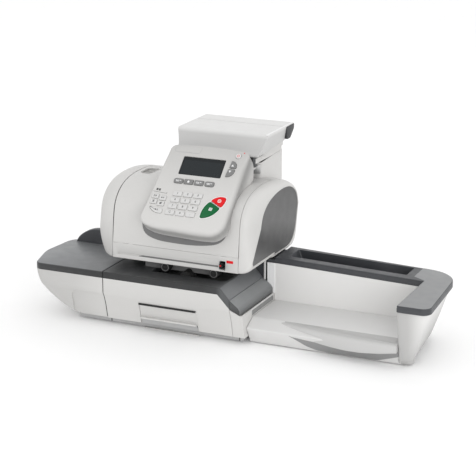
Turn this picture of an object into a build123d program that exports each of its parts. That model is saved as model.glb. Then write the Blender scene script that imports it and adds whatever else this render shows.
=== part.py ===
from build123d import *
import os

# A tabletop franking machine: a feeder tray on the right, a base with a dark deck,
# a printing head that overhangs the deck, a sloping control panel and a weighing platform.
# Modelled in the frame of the mail path: x runs right from the seam between the exit
# tray and the base, y runs back from the deck's front edge, z runs up from the deck.
# Everything is moved at the end so that the origin is the middle of the footprint.

# ---- driving dimensions, mm
DECK_HEIGHT = 104.5        # deck above the table
FENCE_Y = 148.0            # guide wall at the back of the mail path
BASE_LENGTH = 247.5        # exit seam to hood seam
BASE_REAR = 262.0
SEAM = 0.4                 # half of a shut line
WALL = 2.6                 # moulded wall
DECK_BAND = 12.0           # thickness of the dark deck mouldings
CASING_FLOOR = -91.0       # underside of the light casings
FRONT_PROFILE = [(0, -DECK_BAND), (0, -40), (3.4, -46.6), (9.3, -62.8), (15.5, CASING_FLOOR)]

EXIT_REAR = 170.0
EXIT_TIP = -146.0          # left end of the exit tray at its front corner
EXIT_BULGE = 14.0          # the left end swells this much further back
EXIT_KEEL = 85.0           # how far the boat shaped left end runs in at the bottom

FEEDER_LEFT = 270.6
FEEDER_INNER = 548.0       # inner face of the right arm
FEEDER_RIGHT = 606.0
FEEDER_REAR = 222.0
FEEDER_LEAN = (14.0, 6.0)  # how far the arm's rear corner is drawn in, left and forward
FEEDER_FLOOR = -60.0
RIM_LEFT, RIM_RIGHT = 20.0, 12.0   # height of the dark rim at its two ends
RIM_BAND = 11.0
WALL_END = (18.0, 10.0)    # the slanted face at the left end of the guide wall, along x and y
TROUGH_X = (288.5, 523.5)  # the open trough in the rim, at its brim
TROUGH_Y = (165.5, 210.5)
TROUGH_FLOOR = RIM_RIGHT - 18.0

HEAD_LEFT, HEAD_RIGHT = -36.0, 270.0
COVER_RIGHT = 246.5
HEAD_UNDER = 17.0          # underside of the head above the deck
HEAD_TOP = 153.0
HINGE_Y, HINGE_Z = 41.3, 45.7
COVER_REAR = 184.0

PANEL_X = 154.0
PANEL_ORIGIN = (PANEL_X, 12.0, 99.0)
PANEL_HALF_TOP, PANEL_HALF_LOW = 78.0, 83.0
PANEL_LENGTH = 162.0
PANEL_SKIRT = 28.0
PANEL_REAR = 146.0
KEY_PROUD = 1.6            # how far a key stands out of the panel
KEY_GAP = 0.35

PLATTER = (62.0, 241.0, 172.0, 303.0)   # x from, x to, y from, y to of the flat top
PLATTER_TOP = 234.0
PLATTER_LIP_Y, PLATTER_LIP_Z = 147.5, 202.0
STAND = (84.0, 224.0, 196.0, 290.0)
STAND_TOP = 182.0

DRAWER = (68.4, 180.6)     # x from, x to
DRAWER_Z = (-80.0, -52.0)
DRAWER_DEPTH = 118.0

PINCH_X = (102.0, 197.0)
PINCH_Z, PINCH_R = 9.0, 8.6
DRIVE_X, DRIVE_Z, DRIVE_R = 142.0, -6.5, 12.0
FEED_X, FEED_Z, FEED_R = 259.0, -66.0, 7.8
LEVER_X, LEVER_Y = 216.0, 44.0

BIG = 2000.0
parts = {}


# ---- helpers
def yz_prism(points, x_from, x_to):
    """A prism along X over a list of (y, z) points."""
    return extrude(Plane.YZ.offset(x_from) * make_face(Polyline(*points, close=True)), x_to - x_from)


def xz_prism(points, y_from, y_to):
    """A prism along Y over a list of (x, z) points."""
    return extrude(Plane.XZ.offset(-y_to) * make_face(Polyline(*points, close=True)), y_to - y_from)


def block(x_from, x_to, y_from, y_to, z_from, z_to):
    """A plain box between two corners."""
    centre = ((x_from + x_to) / 2, (y_from + y_to) / 2, (z_from + z_to) / 2)
    return Pos(*centre) * Box(x_to - x_from, y_to - y_from, z_to - z_from)


def rod_x(y, z, radius, x_from, x_to):
    """A cylinder along X."""
    return extrude(Plane.YZ.offset(x_from) * Pos(y, z) * Circle(radius), x_to - x_from)


def rod_y(x, z, radius, y_from, y_to):
    """A cylinder along Y."""
    return extrude(Plane.XZ.offset(-y_to) * Pos(x, z) * Circle(radius), y_to - y_from)


def rod_z(x, y, radius, z_from, z_to):
    """A cylinder along Z."""
    return extrude(Plane.XY.offset(z_from) * Pos(x, y) * Circle(radius), z_to - z_from)


def biggest(shape):
    """The largest solid of a cut's result."""
    return max(shape.solids(), key=lambda solid: solid.volume)


def front_y(z):
    """Where the front face of the casings stands at a height."""
    for (y_up, z_up), (y_low, z_low) in zip(FRONT_PROFILE, FRONT_PROFILE[1:]):
        if z >= z_low:
            return y_up + (y_low - y_up) * (z_up - z) / (z_up - z_low)
    return FRONT_PROFILE[-1][0]


# ---- exit tray
def exit_section(drop, inset):
    """Plan outline of the exit tray at a share of the casing's height below the deck band."""
    z = -DECK_BAND + drop * (CASING_FLOOR + DECK_BAND)
    run_in = EXIT_KEEL * (1 - (1 - drop ** 1.7) ** (1 / 1.7))
    left, front, rear = EXIT_TIP + run_in + inset, front_y(z) + inset, EXIT_REAR - inset
    right, belly = -SEAM - inset, (left - EXIT_BULGE, front + 72)
    corners = [(right, front), (left + 7, front), belly, (left - EXIT_BULGE + 8, rear), (right, rear)]
    face = make_face(Polyline(*corners, close=True))
    for corner, radius in zip(corners[1:4], (16, 90, 34)):
        face = fillet(face.vertices().sort_by_distance(corner)[0], radius)
    return Plane.XY.offset(z) * face


def exit_hull(inset):
    """The boat shaped body, lofted down from the deck band."""
    return loft([exit_section(drop, inset) for drop in (0, 0.25, 0.5, 0.7, 0.85, 0.95, 1)], ruled=True)


def make_exit():
    hull = exit_hull(0)
    hollow = exit_hull(WALL) & block(-BIG, BIG, -BIG, BIG, CASING_FLOOR + WALL, BIG)
    inset_panel = block(-69, BIG, -5, 1.4, CASING_FLOOR - 1, -43)
    parts["exit_casing"] = biggest(hull - hollow - inset_panel)
    plate = extrude(Pos(0, 0, DECK_BAND) * exit_section(0, 0), -DECK_BAND)
    pocket = extrude(Pos(0, 0, DECK_BAND - 3) * exit_section(0, WALL), -DECK_BAND)
    parts["exit_deck"] = biggest(fillet(plate.faces().sort_by(Axis.Z)[-1].edges(), 2) - pocket)
    fence = Spline((-138, 0), (-124, 17), (-90, 28), tangents=[(0.35, 1), (1, 0)])
    edges = [fence, Line((-90, 28), (-37, 28)), Line((-37, 28), (-37, 0)), Line((-37, 0), (-138, 0))]
    blade = extrude(Plane.XZ.offset(-FENCE_Y - 14) * make_face(Curve() + edges), 14)
    parts["rear_fence"] = fillet(blade.edges().filter_by(GeomType.BSPLINE), 2)


# ---- base
def band_path(thickness):
    """The deck's section along the path: flat, then down the slope at the hood."""
    top = [(SEAM, 0), (229.5, 0), (BASE_LENGTH - SEAM, -19.3)]
    low = [(BASE_LENGTH - SEAM, -19.3 - thickness * 1.35), (224.5, -thickness), (SEAM, -thickness)]
    return top + low


def make_base():
    deck = xz_prism(band_path(DECK_BAND), 0, BASE_REAR)
    under = [(x, z - 3 if z > -3 else z - 4) for x, z in band_path(DECK_BAND + 4)]
    hollow = xz_prism(under, WALL, BASE_REAR - WALL)
    hollow &= block(SEAM + WALL, BASE_LENGTH - SEAM - WALL, 0, BASE_REAR, -BIG, 0)
    roller_bay = block(78, 224, 39, 141, -11, 5) - block(DRIVE_X - 7, DRIVE_X + 7, 70, 74, -12, -0.5)
    bay_tub = block(75.5, 226.5, 36.5, 143.5, -13.5, -2)
    edge = deck.edges().filter_by(Axis.X).group_by(Axis.Y)[0].sort_by(Axis.Z)[-1]
    deck = (fillet(edge, 2) - hollow) + bay_tub - roller_bay
    drive_slots = [block(DRIVE_X - 13, DRIVE_X + 13, y - 10, y + 10, -20, 5) for y in (52, 110)]
    parts["base_deck"] = biggest(deck - drive_slots - rod_y(DRIVE_X, DRIVE_Z, 2.55, 60, 150))
    side = FRONT_PROFILE + [(BASE_REAR, CASING_FLOOR), (BASE_REAR, -DECK_BAND)]
    outer = yz_prism(side, SEAM, BASE_LENGTH - SEAM)
    room = [(y + WALL, max(z, CASING_FLOOR + WALL)) for y, z in FRONT_PROFILE[1:]]
    room += [(BASE_REAR - WALL, CASING_FLOOR + WALL), (BASE_REAR - WALL, 0), (WALL, 0)]
    inner = yz_prism(room, SEAM + WALL, BASE_LENGTH - SEAM - WALL)
    slope = xz_prism([(224.5, -DECK_BAND), (BIG, -DECK_BAND), (BIG, -36), (BASE_LENGTH - SEAM, -35.5)], -1, BIG)
    bay = block(DRAWER[0] - 0.6, DRAWER[1] + 0.6, -1, 145, CASING_FLOOR - 1, DRAWER_Z[1] + 2)
    bay_walls = block(DRAWER[0] - 3.2, DRAWER[1] + 3.2, 3, 147.5, CASING_FLOOR, DRAWER_Z[1] + 4.6)
    front_cut = yz_prism([(y - 30, z) for y, z in FRONT_PROFILE] + FRONT_PROFILE[::-1], -BIG, BIG)
    casing = outer - inner - slope + (bay_walls - front_cut)
    inlet_hole = block(36, 64, BASE_REAR - 10, BASE_REAR + 1, -74, -50)
    parts["base_casing"] = biggest(casing - bay - inlet_hole)


def make_floor_pan():
    pan = block(-66, 262, 29, 160, -102, CASING_FLOOR) + block(2, 262, 29, 252, -102, CASING_FLOOR)
    pan += block(262, 560, 52, 214, -102, CASING_FLOOR)
    pan -= block(-60, 256, 35, 154, -98.5, CASING_FLOOR + 1) + block(8, 256, 35, 246, -98.5, CASING_FLOOR + 1)
    pan -= block(268, 554, 58, 208, -98.5, CASING_FLOOR + 1)
    parts["floor_pan"] = pan
    feet = [rod_z(x, y, 9, -DECK_HEIGHT, -102) for x in (-46, 240, 300, 540) for y in (66, 190)]
    parts["rubber_feet"] = Compound(feet)
    posts = [(x, y) for x in (20, 230) for y in (60, 236)]
    posts += [(-40, 60), (-40, 140)]
    posts += [(x, y) for x in (290, 540) for y in (80, 200)]
    screws = [rod_z(x, y, 1.6, -98.5, CASING_FLOOR) + rod_z(x, y, 3.2, -98.5, -96.3) for x, y in posts]
    parts["screws"] = Compound([biggest(screw) for screw in screws])


# ---- hood and sealer
def make_hood():
    left, right = BASE_LENGTH + SEAM, FEEDER_LEFT - SEAM
    slope = [(left, -20.2), (263.5, -32), (267, -37.5), (267, -45.5), (left, -36.4)]
    under = [(left + 2, -25), (262, -36), (264, -39), (264, -60), (left + 2, -60)]
    hood = xz_prism(slope, 0, FENCE_Y - 1) - xz_prism(under, WALL, FENCE_Y - 1 - WALL)
    parts["transport_hood"] = biggest(hood)
    profile = FRONT_PROFILE + [(BASE_REAR, CASING_FLOOR), (BASE_REAR, -SEAM)]
    profile += [(FENCE_Y, -SEAM), (FENCE_Y, -DECK_BAND)]
    post = yz_prism(profile, left, right)
    above = [(left - 1, 5), (BIG, 5), (BIG, -46.5), (267.5, -46.5), (left - 1, -36.6)]
    hood_room = xz_prism(above, -1, FENCE_Y)
    room = [(y + WALL, max(z, CASING_FLOOR + WALL)) for y, z in FRONT_PROFILE]
    room += [(BASE_REAR - WALL, CASING_FLOOR + WALL), (BASE_REAR - WALL, -3), (FENCE_Y + WALL, -3)]
    inner = yz_prism(room + [(FENCE_Y + WALL, -DECK_BAND)], left + WALL, right - WALL)
    throat = block(right - 5, right + 5, 46, FENCE_Y - 4, FEEDER_FLOOR + 0.6, -45)
    ribs = [block(left + 1, right - 1, y, y + 4, CASING_FLOOR + 1, FEED_Z + 6) for y in (52, 136)]
    post = post - inner - hood_room - throat + ribs
    parts["sealer_casing"] = biggest(post - rod_y(FEED_X, FEED_Z, 3.05, 50, 142))
    roller = rod_y(FEED_X, FEED_Z, 3, 52, 140) + rod_y(FEED_X, FEED_Z, FEED_R, 57, 135)
    for y in (76, 93, 110):
        roller -= rod_y(FEED_X, FEED_Z, 20, y, y + 5) - rod_y(FEED_X, FEED_Z, FEED_R - 2, y, y + 5)
    parts["feed_roller"] = biggest(roller)


# ---- feeder
def feeder_outline(drop, inset):
    """Plan outline of the feeder's wall and arm at a share of the height down from the rim."""
    z = RIM_LEFT + drop * (CASING_FLOOR - RIM_LEFT)
    run_in = 34 * (1 - (1 - drop ** 2) ** 0.5)
    right, front = FEEDER_RIGHT - run_in - inset, 3 + 0.6 * run_in + inset
    rear, inner_x = FEEDER_REAR - 0.5 * run_in - inset, FEEDER_INNER + inset
    wall = FENCE_Y - 0.6 + inset
    rear_corner = (right - FEEDER_LEAN[0], rear - FEEDER_LEAN[1])
    corners = [(FEEDER_LEFT + inset, wall + WALL_END[1]), (FEEDER_LEFT + WALL_END[0], wall), (inner_x, wall),
               (inner_x, front), (right, front), rear_corner, (FEEDER_LEFT + inset, rear)]
    face = make_face(Polyline(*corners, close=True))
    for corner, radius in ((rear_corner, 60), ((right, front), 16)):
        face = fillet(face.vertices().sort_by_distance(corner)[0], radius - inset)
    return Plane.XY.offset(z) * face


def rim_line(offset):
    """Everything above the sloping line of the feeder's rim, lowered by an offset."""
    left, right = RIM_LEFT - offset, RIM_RIGHT - offset
    line = [(-BIG, left), (FEEDER_LEFT, left), (FEEDER_INNER, right), (BIG, right)]
    return xz_prism(line + [(BIG, 500), (-BIG, 500)], -BIG, BIG)


def make_feeder():
    body = loft([feeder_outline(drop, 0) for drop in (0, 0.4, 0.7, 0.88, 1)], ruled=True)
    hollow = loft([feeder_outline(drop, WALL) for drop in (0, 0.4, 0.7, 0.88, 1)], ruled=True)
    hollow &= block(-BIG, BIG, -BIG, BIG, CASING_FLOOR + WALL, BIG)
    parts["feeder_casing"] = biggest((body - rim_line(RIM_BAND)) - hollow)
    rim = extrude(feeder_outline(0, 0), -40)
    skirt = (rim - rim_line(0)) & rim_line(RIM_BAND)
    below = extrude(feeder_outline(0, WALL), -40) - rim_line(3)
    (left, right), (front, rear) = TROUGH_X, TROUGH_Y
    tub = block(left - 2.5, right + 2.5, front - 2.5, rear + 2.5, TROUGH_FLOOR - 6, RIM_LEFT) - rim_line(0.5)
    brim = RIM_LEFT + 5
    slopes = [(left, brim), (left + 13.5, TROUGH_FLOOR), (right - 23.5, TROUGH_FLOOR), (right, brim)]
    trough = xz_prism(slopes, front, rear)
    parts["feeder_trim"] = biggest(skirt - below + tub - trough)
    rear = FENCE_Y - 1
    side = [(38, -103), (20.5, -73), (46, FEEDER_FLOOR), (rear, FEEDER_FLOOR), (rear, -89), (42, -89)]
    tray = yz_prism(side, FEEDER_LEFT + SEAM, FEEDER_INNER - 0.4)
    ceiling = FEEDER_FLOOR - WALL
    room = [(44, -93), (25, -74), (48, ceiling), (rear - 3, ceiling), (rear - 3, -93)]
    tray -= yz_prism(room, FEEDER_LEFT + SEAM + WALL, FEEDER_INNER - 3)
    tongue = make_face(Curve() + [ThreePointArc((312, 47), (436, 19), (FEEDER_INNER - 0.4, 13)),
                                  Line((FEEDER_INNER - 0.4, 13), (FEEDER_INNER - 0.4, 47)),
                                  Line((FEEDER_INNER - 0.4, 47), (312, 47))])
    tray += extrude(Plane.XY.offset(-72) * tongue, 11)
    parts["feeder_tray"] = biggest(tray)


# ---- printing head
def inset_points(points, inset):
    """Points of a curve moved to its right hand side by an inset."""
    moved = []
    for index, (a, b) in enumerate(points):
        before, after = points[max(index - 1, 0)], points[min(index + 1, len(points) - 1)]
        run = Vector(after[0] - before[0], after[1] - before[1]).normalized()
        moved.append((a + inset * run.Y, b - inset * run.X))
    return moved


def head_outline(share=0.0, inset=0.0):
    """Side outline of the head, drawn in towards the flat of its side by a share from 0 to 1."""
    full = [(45.5, 88), (52, 114), (70, 135), (104, 149), (150, HEAD_TOP), (196, 150.4), (236, 139), (259, 119),
            (267.5, 96)]
    tight = [(84, 88), (92, 108), (108, 123), (136, 134), (166, 138.5), (200, 138), (230, 130), (250, 114),
             (257, 94)]
    run = [(a + (c - a) * share, b + (d - b) * share) for (a, b), (c, d) in zip(full, tight)]
    run = inset_points(run, inset)
    low_z, high_z = 0.3 + 14 * share + inset, HEAD_UNDER + 9 * share + inset
    low_front, low_rear = (39 + 18 * share + inset, high_z), (254 - 10 * share - inset, low_z)
    step_y = FENCE_Y + inset
    curve = Spline(*run)
    edges = [Line(low_front, run[0]), curve, Line(run[-1], low_rear), Line(low_rear, (step_y, low_z)),
             Line((step_y, low_z), (step_y, high_z)), Line((step_y, high_z), low_front)]
    return make_face(Curve() + edges)


def cap(x_seam, x_outer):
    """One end cap: the outline swept round from the seam to the flat of its side."""
    sections = []
    for step in (0, 0.45, 0.75, 0.93, 1):
        share = 1 - (1 - step ** 2) ** 0.5
        sections.append(Plane.YZ.offset(x_seam + (x_outer - x_seam) * step) * head_outline(share))
    return loft(sections, ruled=True)


def inner_prism(amount, x_from, x_to):
    """The head's outline moved inwards and drawn along X."""
    return extrude(Plane.YZ.offset(x_from) * head_outline(0, amount), x_to - x_from)


def make_caps():
    left_room = inner_prism(26, HEAD_LEFT + 10, -WALL)
    parts["head_left_cap"] = biggest(cap(0, HEAD_LEFT) - left_room)
    right = cap(COVER_RIGHT, HEAD_RIGHT)
    right -= inner_prism(26, COVER_RIGHT + WALL, HEAD_RIGHT - 8)
    recess = extrude(Plane.YZ.offset(HEAD_RIGHT - 3) * head_outline(1.06), 5)
    parts["head_right_cap"] = biggest(right - recess)
    parts["side_panel"] = extrude(Plane.YZ.offset(HEAD_RIGHT - 3) * head_outline(1.1), 2.2)


def knuckle_room(x_from, x_to):
    return rod_x(HINGE_Y, HINGE_Z, 2.6, x_from, x_to)


def make_frame():
    width = COVER_RIGHT
    under = block(0, width, 41, FENCE_Y + 2, HEAD_UNDER, HEAD_UNDER + 3)
    windows = [block(x - 11, x + 11, 41.9, 66, 10, 30) for x in PINCH_X]
    windows.append(block(116, 160, 84, 132, 10, 30))
    strip = yz_prism([(39.2, HEAD_UNDER), (39.9, 44.7), (42.6, 44.7), (42.2, HEAD_UNDER)], 0, width)
    slot = block(12, 206, 38, 40.4, 24, 27)
    lever_bay = block(LEVER_X - 5, LEVER_X + 6, 36, 50, HEAD_UNDER + 2, 36)
    rear = inner_prism(0.01, 0, width) - inner_prism(WALL, WALL, width - WALL)
    rear &= block(-1, BIG, COVER_REAR + 0.8, BIG, -BIG, BIG)
    low_wall = block(0, width, FENCE_Y, FENCE_Y + 3, 0.3, HEAD_UNDER + 3)
    shelf = block(0, width, FENCE_Y, COVER_REAR + 4, 0.3, 3.3)
    bulkhead = block(0, width, COVER_REAR + 0.8, COVER_REAR + 4, 0.3, 149)
    brackets = [block(x - 4, x + 4, 60.5, 64, PINCH_Z - 4, HEAD_UNDER + 3) for x in PINCH_X]
    bars = [block(x - 13, x + 13, 60.5, 64, HEAD_UNDER, HEAD_UNDER + 6) for x in PINCH_X]
    pins = [rod_y(x, PINCH_Z, 2.5, 43.5, 62) for x in PINCH_X]
    frame = (under - windows) + (strip - slot - lever_bay) + low_wall + shelf + bulkhead + rear
    frame = frame + brackets + bars + pins
    for x_from in (20, 214):
        frame -= knuckle_room(x_from - 0.4, x_from + 12.4)
        for side in (x_from - 8.4, x_from + 12.4):
            frame += rod_x(HINGE_Y, HINGE_Z, 2.1, side, side + 8) & block(0, 300, 0, 300, 42.6, 60)
        frame += rod_x(HINGE_Y, HINGE_Z, 1.0, x_from - 6, x_from + 18)
    parts["head_frame"] = biggest(frame)
    cradle = block(118, 158, 86, 130, HEAD_UNDER - 1, 62) + block(112, 164, 86, 130, 40, 78)
    parts["ink_cartridge"] = fillet(cradle.edges().filter_by(Axis.Z), 2)


def cover_band():
    band = inner_prism(0.01, SEAM, COVER_RIGHT - SEAM) - inner_prism(WALL, -5, 300)
    return band & block(-BIG, BIG, -BIG, COVER_REAR, 46.6, BIG)


def make_cover():
    cover = cover_band()
    for x in (SEAM, COVER_RIGHT - SEAM - 2):
        rib = inner_prism(1, x, x + 2)
        cover += (rib - inner_prism(12, -5, 300)) & block(-BIG, BIG, 43, COVER_REAR, 52, BIG)
    grip_cup = block(3, 36, 138, COVER_REAR - 1, 134, 151)
    scoop = Pos(19, 161, 156) * Rot(0, 14, 0) * fillet(Box(25, 38, 34).edges(), 8)
    cover = cover + (grip_cup & inner_prism(1, -5, 300)) - scoop
    for x_from in (20, 214):
        cover -= knuckle_room(x_from - 8.8, x_from + 20.8)
        knuckle = rod_x(HINGE_Y, HINGE_Z, 2.1, x_from, x_from + 12)
        web = block(x_from, x_from + 12, 39.6, 42.6, HINGE_Z, 50)
        cover += knuckle + web
        cover -= rod_x(HINGE_Y, HINGE_Z, 1.05, x_from - 1, x_from + 13)
    parts["top_cover"] = biggest(cover)


# ---- control panel
panel_plane = Plane(origin=PANEL_ORIGIN, x_dir=(1, 0, 0), z_dir=(0, -1, 1))


def panel_outline():
    low, high = PANEL_HALF_LOW, PANEL_HALF_TOP
    corners = [(-low, 0), (-high, PANEL_LENGTH), (high, PANEL_LENGTH), (low, 0)]
    edges = [Line(corners[0], corners[1]), ThreePointArc(corners[1], (0, PANEL_LENGTH + 3), corners[2]),
             Line(corners[2], corners[3]), ThreePointArc(corners[3], (0, -12), corners[0])]
    face = make_face(Curve() + edges)
    face = fillet(face.vertices().group_by(Axis.Y)[-1], 13)
    return fillet(face.vertices().group_by(Axis.Y)[0], 22)


def on_panel(face, w_from, w_to):
    """Draw a face from one height above the panel's surface to another."""
    return extrude(panel_plane.offset(w_from) * face, w_to - w_from)


def key_face(u, v, width, height, radius):
    return Pos(u, v) * RectangleRounded(width, height, radius)


def arc_face(points, mids):
    """A closed face through corner points, with an arc wherever a mid point is given."""
    edges = []
    for start, end, mid in zip(points, points[1:] + points[:1], mids):
        edges.append(ThreePointArc(start, mid, end) if mid else Line(start, end))
    return make_face(Curve() + edges)


def key_faces():
    """Every key's outline in the panel's own plane."""
    faces = {}
    names = ["1", "2", "3", "4", "5", "6", "7", "8", "9", "clear", "0", "point"]
    for index, name in enumerate(names):
        row, column = divmod(index, 3)
        faces["key_" + name] = key_face(-31 + 19.8 * column - 0.8 * row, 62.5 - 12.8 * row, 16.5, 9, 1.2)
    for index, u in enumerate((-38, -18.5, 1.5, 22)):
        faces["menu_key_%d" % (index + 1)] = key_face(u, 88.5, 17.5, 9.5, 3.2 if index in (0, 3) else 1.2)
    for index, (u, v) in enumerate(((-71.5, 53), (-56, 50.5), (-71.5, 42), (-56.5, 39))):
        faces["shortcut_key_%d" % (index + 1)] = key_face(u, v, 12.5, 8.5, 1.2)
    faces["shortcut_key_5"] = arc_face([(-76, 32), (-49, 28.5), (-49, 20.5)], [None, None, (-65, 22.5)])
    faces["up_key"] = arc_face([(48.5, 125.5), (49.5, 140), (60.5, 125.5)], [None, (58, 135.5), None])
    faces["down_key"] = arc_face([(47.5, 123), (59.5, 123), (46, 107)], [None, (57.5, 112.5), None])
    faces["stop_key"] = arc_face([(36, 56), (62, 64.5), (57.5, 45.5)], [(47.5, 64.5), (61.5, 54.5), None])
    faces["start_key"] = arc_face([(34.5, 54), (56, 43.5), (25.5, 20.5)], [None, (44, 27), (26, 38)])
    faces["power_key"] = Pos(58, 151) * Circle(5)
    return faces


def make_panel():
    outline = panel_outline()
    head_room = inner_prism(-2.6, -100, 400)
    shell = (on_panel(outline, -75, 0) - head_room) & block(-BIG, BIG, -BIG, PANEL_REAR, 0, BIG)
    under = [tuple((panel_plane * Pos(0, v, -PANEL_SKIRT)).position)[1:] for v in (24, -70)]
    shell = biggest(shell - yz_prism([(-60, 0), (60, 0)] + under, -BIG, BIG))
    shell = fillet(shell.faces().sort_by(Axis((0, 0, 0), (0, -1, 1)))[-1].edges(), 3)
    room = on_panel(offset(outline, amount=-1.8), -PANEL_SKIRT + 2.6, -WALL) - inner_prism(-5.2, -100, 400)
    shell -= room
    faces = key_faces()
    for face in faces.values():
        shell -= on_panel(offset(face, amount=KEY_GAP), -10, 5)
    window = key_face(-3.5, 121.5, 81.5, 37, 1.5)
    shell -= on_panel(offset(window, amount=0.2), -10, 5)
    parts["panel_shell"] = biggest(shell)
    glass = on_panel(window, -WALL, -1)
    parts["display_window"] = glass + on_panel(offset(window, amount=1.6), -WALL - 2.2, -WALL)
    board = key_face(0, 84, 150, 140, 8)
    parts["main_board"] = biggest(on_panel(board, -8.6, -7) - inner_prism(-5.6, -100, 400))
    for name, face in faces.items():
        top = on_panel(face, -5.6, KEY_PROUD)
        flange = on_panel(offset(face, amount=0.9), -5.6, -WALL - 0.4)
        parts[name] = biggest(top + flange)


def make_collar():
    """The grey gasket that the panel sits on, wrapped round the front of the cover."""
    ring = inner_prism(-2.2, SEAM + 20, COVER_RIGHT - SEAM) - inner_prism(-0.02, -5, 400)
    ring &= block(-BIG, BIG, -BIG, PANEL_REAR + 2, HINGE_Z + 5, BIG)
    left, right, low = PANEL_X - 84, PANEL_X + 83.5, 61
    edges = [Line((left, 200), (left, low)), ThreePointArc((left, low), (PANEL_X, low - 6), (right, low)),
             Line((right, low), (right, 200)), Line((right, 200), (left, 200))]
    front_view = make_face(Curve() + edges)
    front_view = fillet(front_view.vertices().group_by(Axis.Y)[0], 26)
    ring &= extrude(Plane.XZ.offset(-BIG) * front_view, 2 * BIG)
    parts["panel_collar"] = biggest(ring)


# ---- drawer
def make_drawer():
    x_from, x_to = DRAWER
    z_from, z_to = DRAWER_Z
    slant = [(front_y(z) + 0.8, z) for z in (z_to - 1.5, -62.8, z_from)]
    front = yz_prism(slant + [(slant[-1][0] + 3, z_from), (slant[0][0] + 3, z_to - 1.5)], x_from, x_to)
    tub = block(x_from + 1, x_to - 1, 14, DRAWER_DEPTH + 12, z_from - 4, z_to - 8)
    room = block(x_from + 3, x_to - 3, 16.5, DRAWER_DEPTH + 10, z_from - 2, BIG)
    neck = block(x_from + 1, x_to - 1, 6, 17, z_from + 0.5, z_from + 3)
    parts["drawer"] = biggest(front + (tub - room) + neck)


# ---- rollers, motor, lever
def make_drives():
    for name, x in zip(("pinch_roller_left", "pinch_roller_right"), PINCH_X):
        tyre = rod_y(x, PINCH_Z, PINCH_R, 44, 59.5) - rod_y(x, PINCH_Z, PINCH_R - 3, 43, 46)
        hub = rod_y(x, PINCH_Z, 4.4, 43.2, 59.5)
        parts[name] = biggest(tyre + hub - rod_y(x, PINCH_Z, 2.56, 40, 62))
    shaft = rod_y(DRIVE_X, DRIVE_Z, 2.5, 44, 165)
    for y in (45, 103):
        shaft += rod_y(DRIVE_X, DRIVE_Z, DRIVE_R, y, y + 14)
    shaft += rod_y(DRIVE_X, DRIVE_Z, 3.4, 158, 165)
    parts["drive_shaft"] = shaft
    motor = rod_y(DRIVE_X, DRIVE_Z - 38, 18, 168, 214) + rod_y(DRIVE_X, DRIVE_Z - 38, 2.5, 158, 168)
    motor += block(DRIVE_X - 24, DRIVE_X + 24, 165.5, 168.5, DRIVE_Z - 62, DRIVE_Z - 14)
    motor += block(DRIVE_X - 24, DRIVE_X + 24, 165.5, 200, CASING_FLOOR + WALL, DRIVE_Z - 59)
    parts["drive_motor"] = biggest(motor)
    lever = block(LEVER_X - 2, LEVER_X + 2.5, 33, LEVER_Y, 24, 31)
    lever += rod_x(LEVER_Y, 29, 3, LEVER_X - 3, LEVER_X + 4)
    parts["jam_lever"] = biggest(lever)
    inlet = block(36.4, 63.6, BASE_REAR - 16, BASE_REAR - 1, -73.6, -50.4)
    inlet -= block(40, 60, BASE_REAR - 13, BASE_REAR + 1, -70, -54)
    pins = [block(x - 1, x + 1, BASE_REAR - 14, BASE_REAR - 4, -64, -60) for x in (44, 50, 56)]
    parts["power_inlet"] = biggest(inlet + pins)


# ---- weighing scale
def make_scale():
    x_from, x_to, y_from, y_to = STAND
    stand = block(x_from, x_to, y_from, y_to, 96, STAND_TOP) - inner_prism(-0.3, -100, 400)
    stand -= yz_prism([(262, 90), (262, 96), (292, 122), (292, 90)], -BIG, BIG)
    front_edges = stand.edges().filter_by(Axis.Z).group_by(Axis.Y)[0]
    parts["scale_stand"] = biggest(fillet(front_edges, 6))
    base = block(x_from + 3, x_to - 1, 168, y_to - 3, STAND_TOP, STAND_TOP + 9)
    base += block(x_from + 8, x_to - 6, 168, 192, STAND_TOP - 12, STAND_TOP)
    parts["scale_base"] = biggest(base)
    left, right, front, rear = PLATTER
    side = [(front, PLATTER_TOP), (rear, PLATTER_TOP), (rear - 2, PLATTER_TOP - 12),
            (rear - 22, PLATTER_LIP_Z + 6), (rear - 40, PLATTER_LIP_Z),
            (PLATTER_LIP_Y + 4, PLATTER_LIP_Z), (PLATTER_LIP_Y, PLATTER_LIP_Z + 5)]
    arc = ThreePointArc(side[-1], (154, 222), side[0])
    edges = [Line(a, b) for a, b in zip(side, side[1:])] + [arc]
    top = extrude(Plane.YZ.offset(left) * make_face(Curve() + edges), right - left)
    room = block(left + 4, right - 4, PLATTER_LIP_Y + 14, rear - 6, PLATTER_LIP_Z - 1, PLATTER_TOP - 4)
    top -= room
    high, low = PLATTER_TOP - 2, PLATTER_LIP_Z - 1
    for x, side_in in ((left, 1), (right, -1)):
        outside = x - side_in * 50
        top -= xz_prism([(x, high), (x + side_in * 6, low), (outside, low), (outside, high)], 100, 400)
    posts = [rod_z(x, y, 6, STAND_TOP + 10.4, PLATTER_TOP - 3) for x in (120, 184) for y in (200, 264)]
    groove = block(left - 1, right + 1, 259, 262, PLATTER_TOP - 1, PLATTER_TOP + 1)
    parts["scale_platter"] = biggest(top - groove + posts)


def build_all():
    for make in (make_exit, make_base, make_floor_pan, make_hood, make_feeder, make_caps, make_frame,
                 make_cover, make_panel, make_collar, make_drawer, make_drives, make_scale):
        make()


def centring():
    """The move that brings the middle of the footprint, on the table, to the origin."""
    box = Compound(list(parts.values())).bounding_box()
    return Pos(-(box.min.X + box.max.X) / 2, -(box.min.Y + box.max.Y) / 2, -box.min.Z)


build_all()
shift = centring()
os.makedirs("parts", exist_ok=True)
for name, shape in parts.items():
    export_step(shift * shape, "parts/%s.step" % name)
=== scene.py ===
import math

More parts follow.
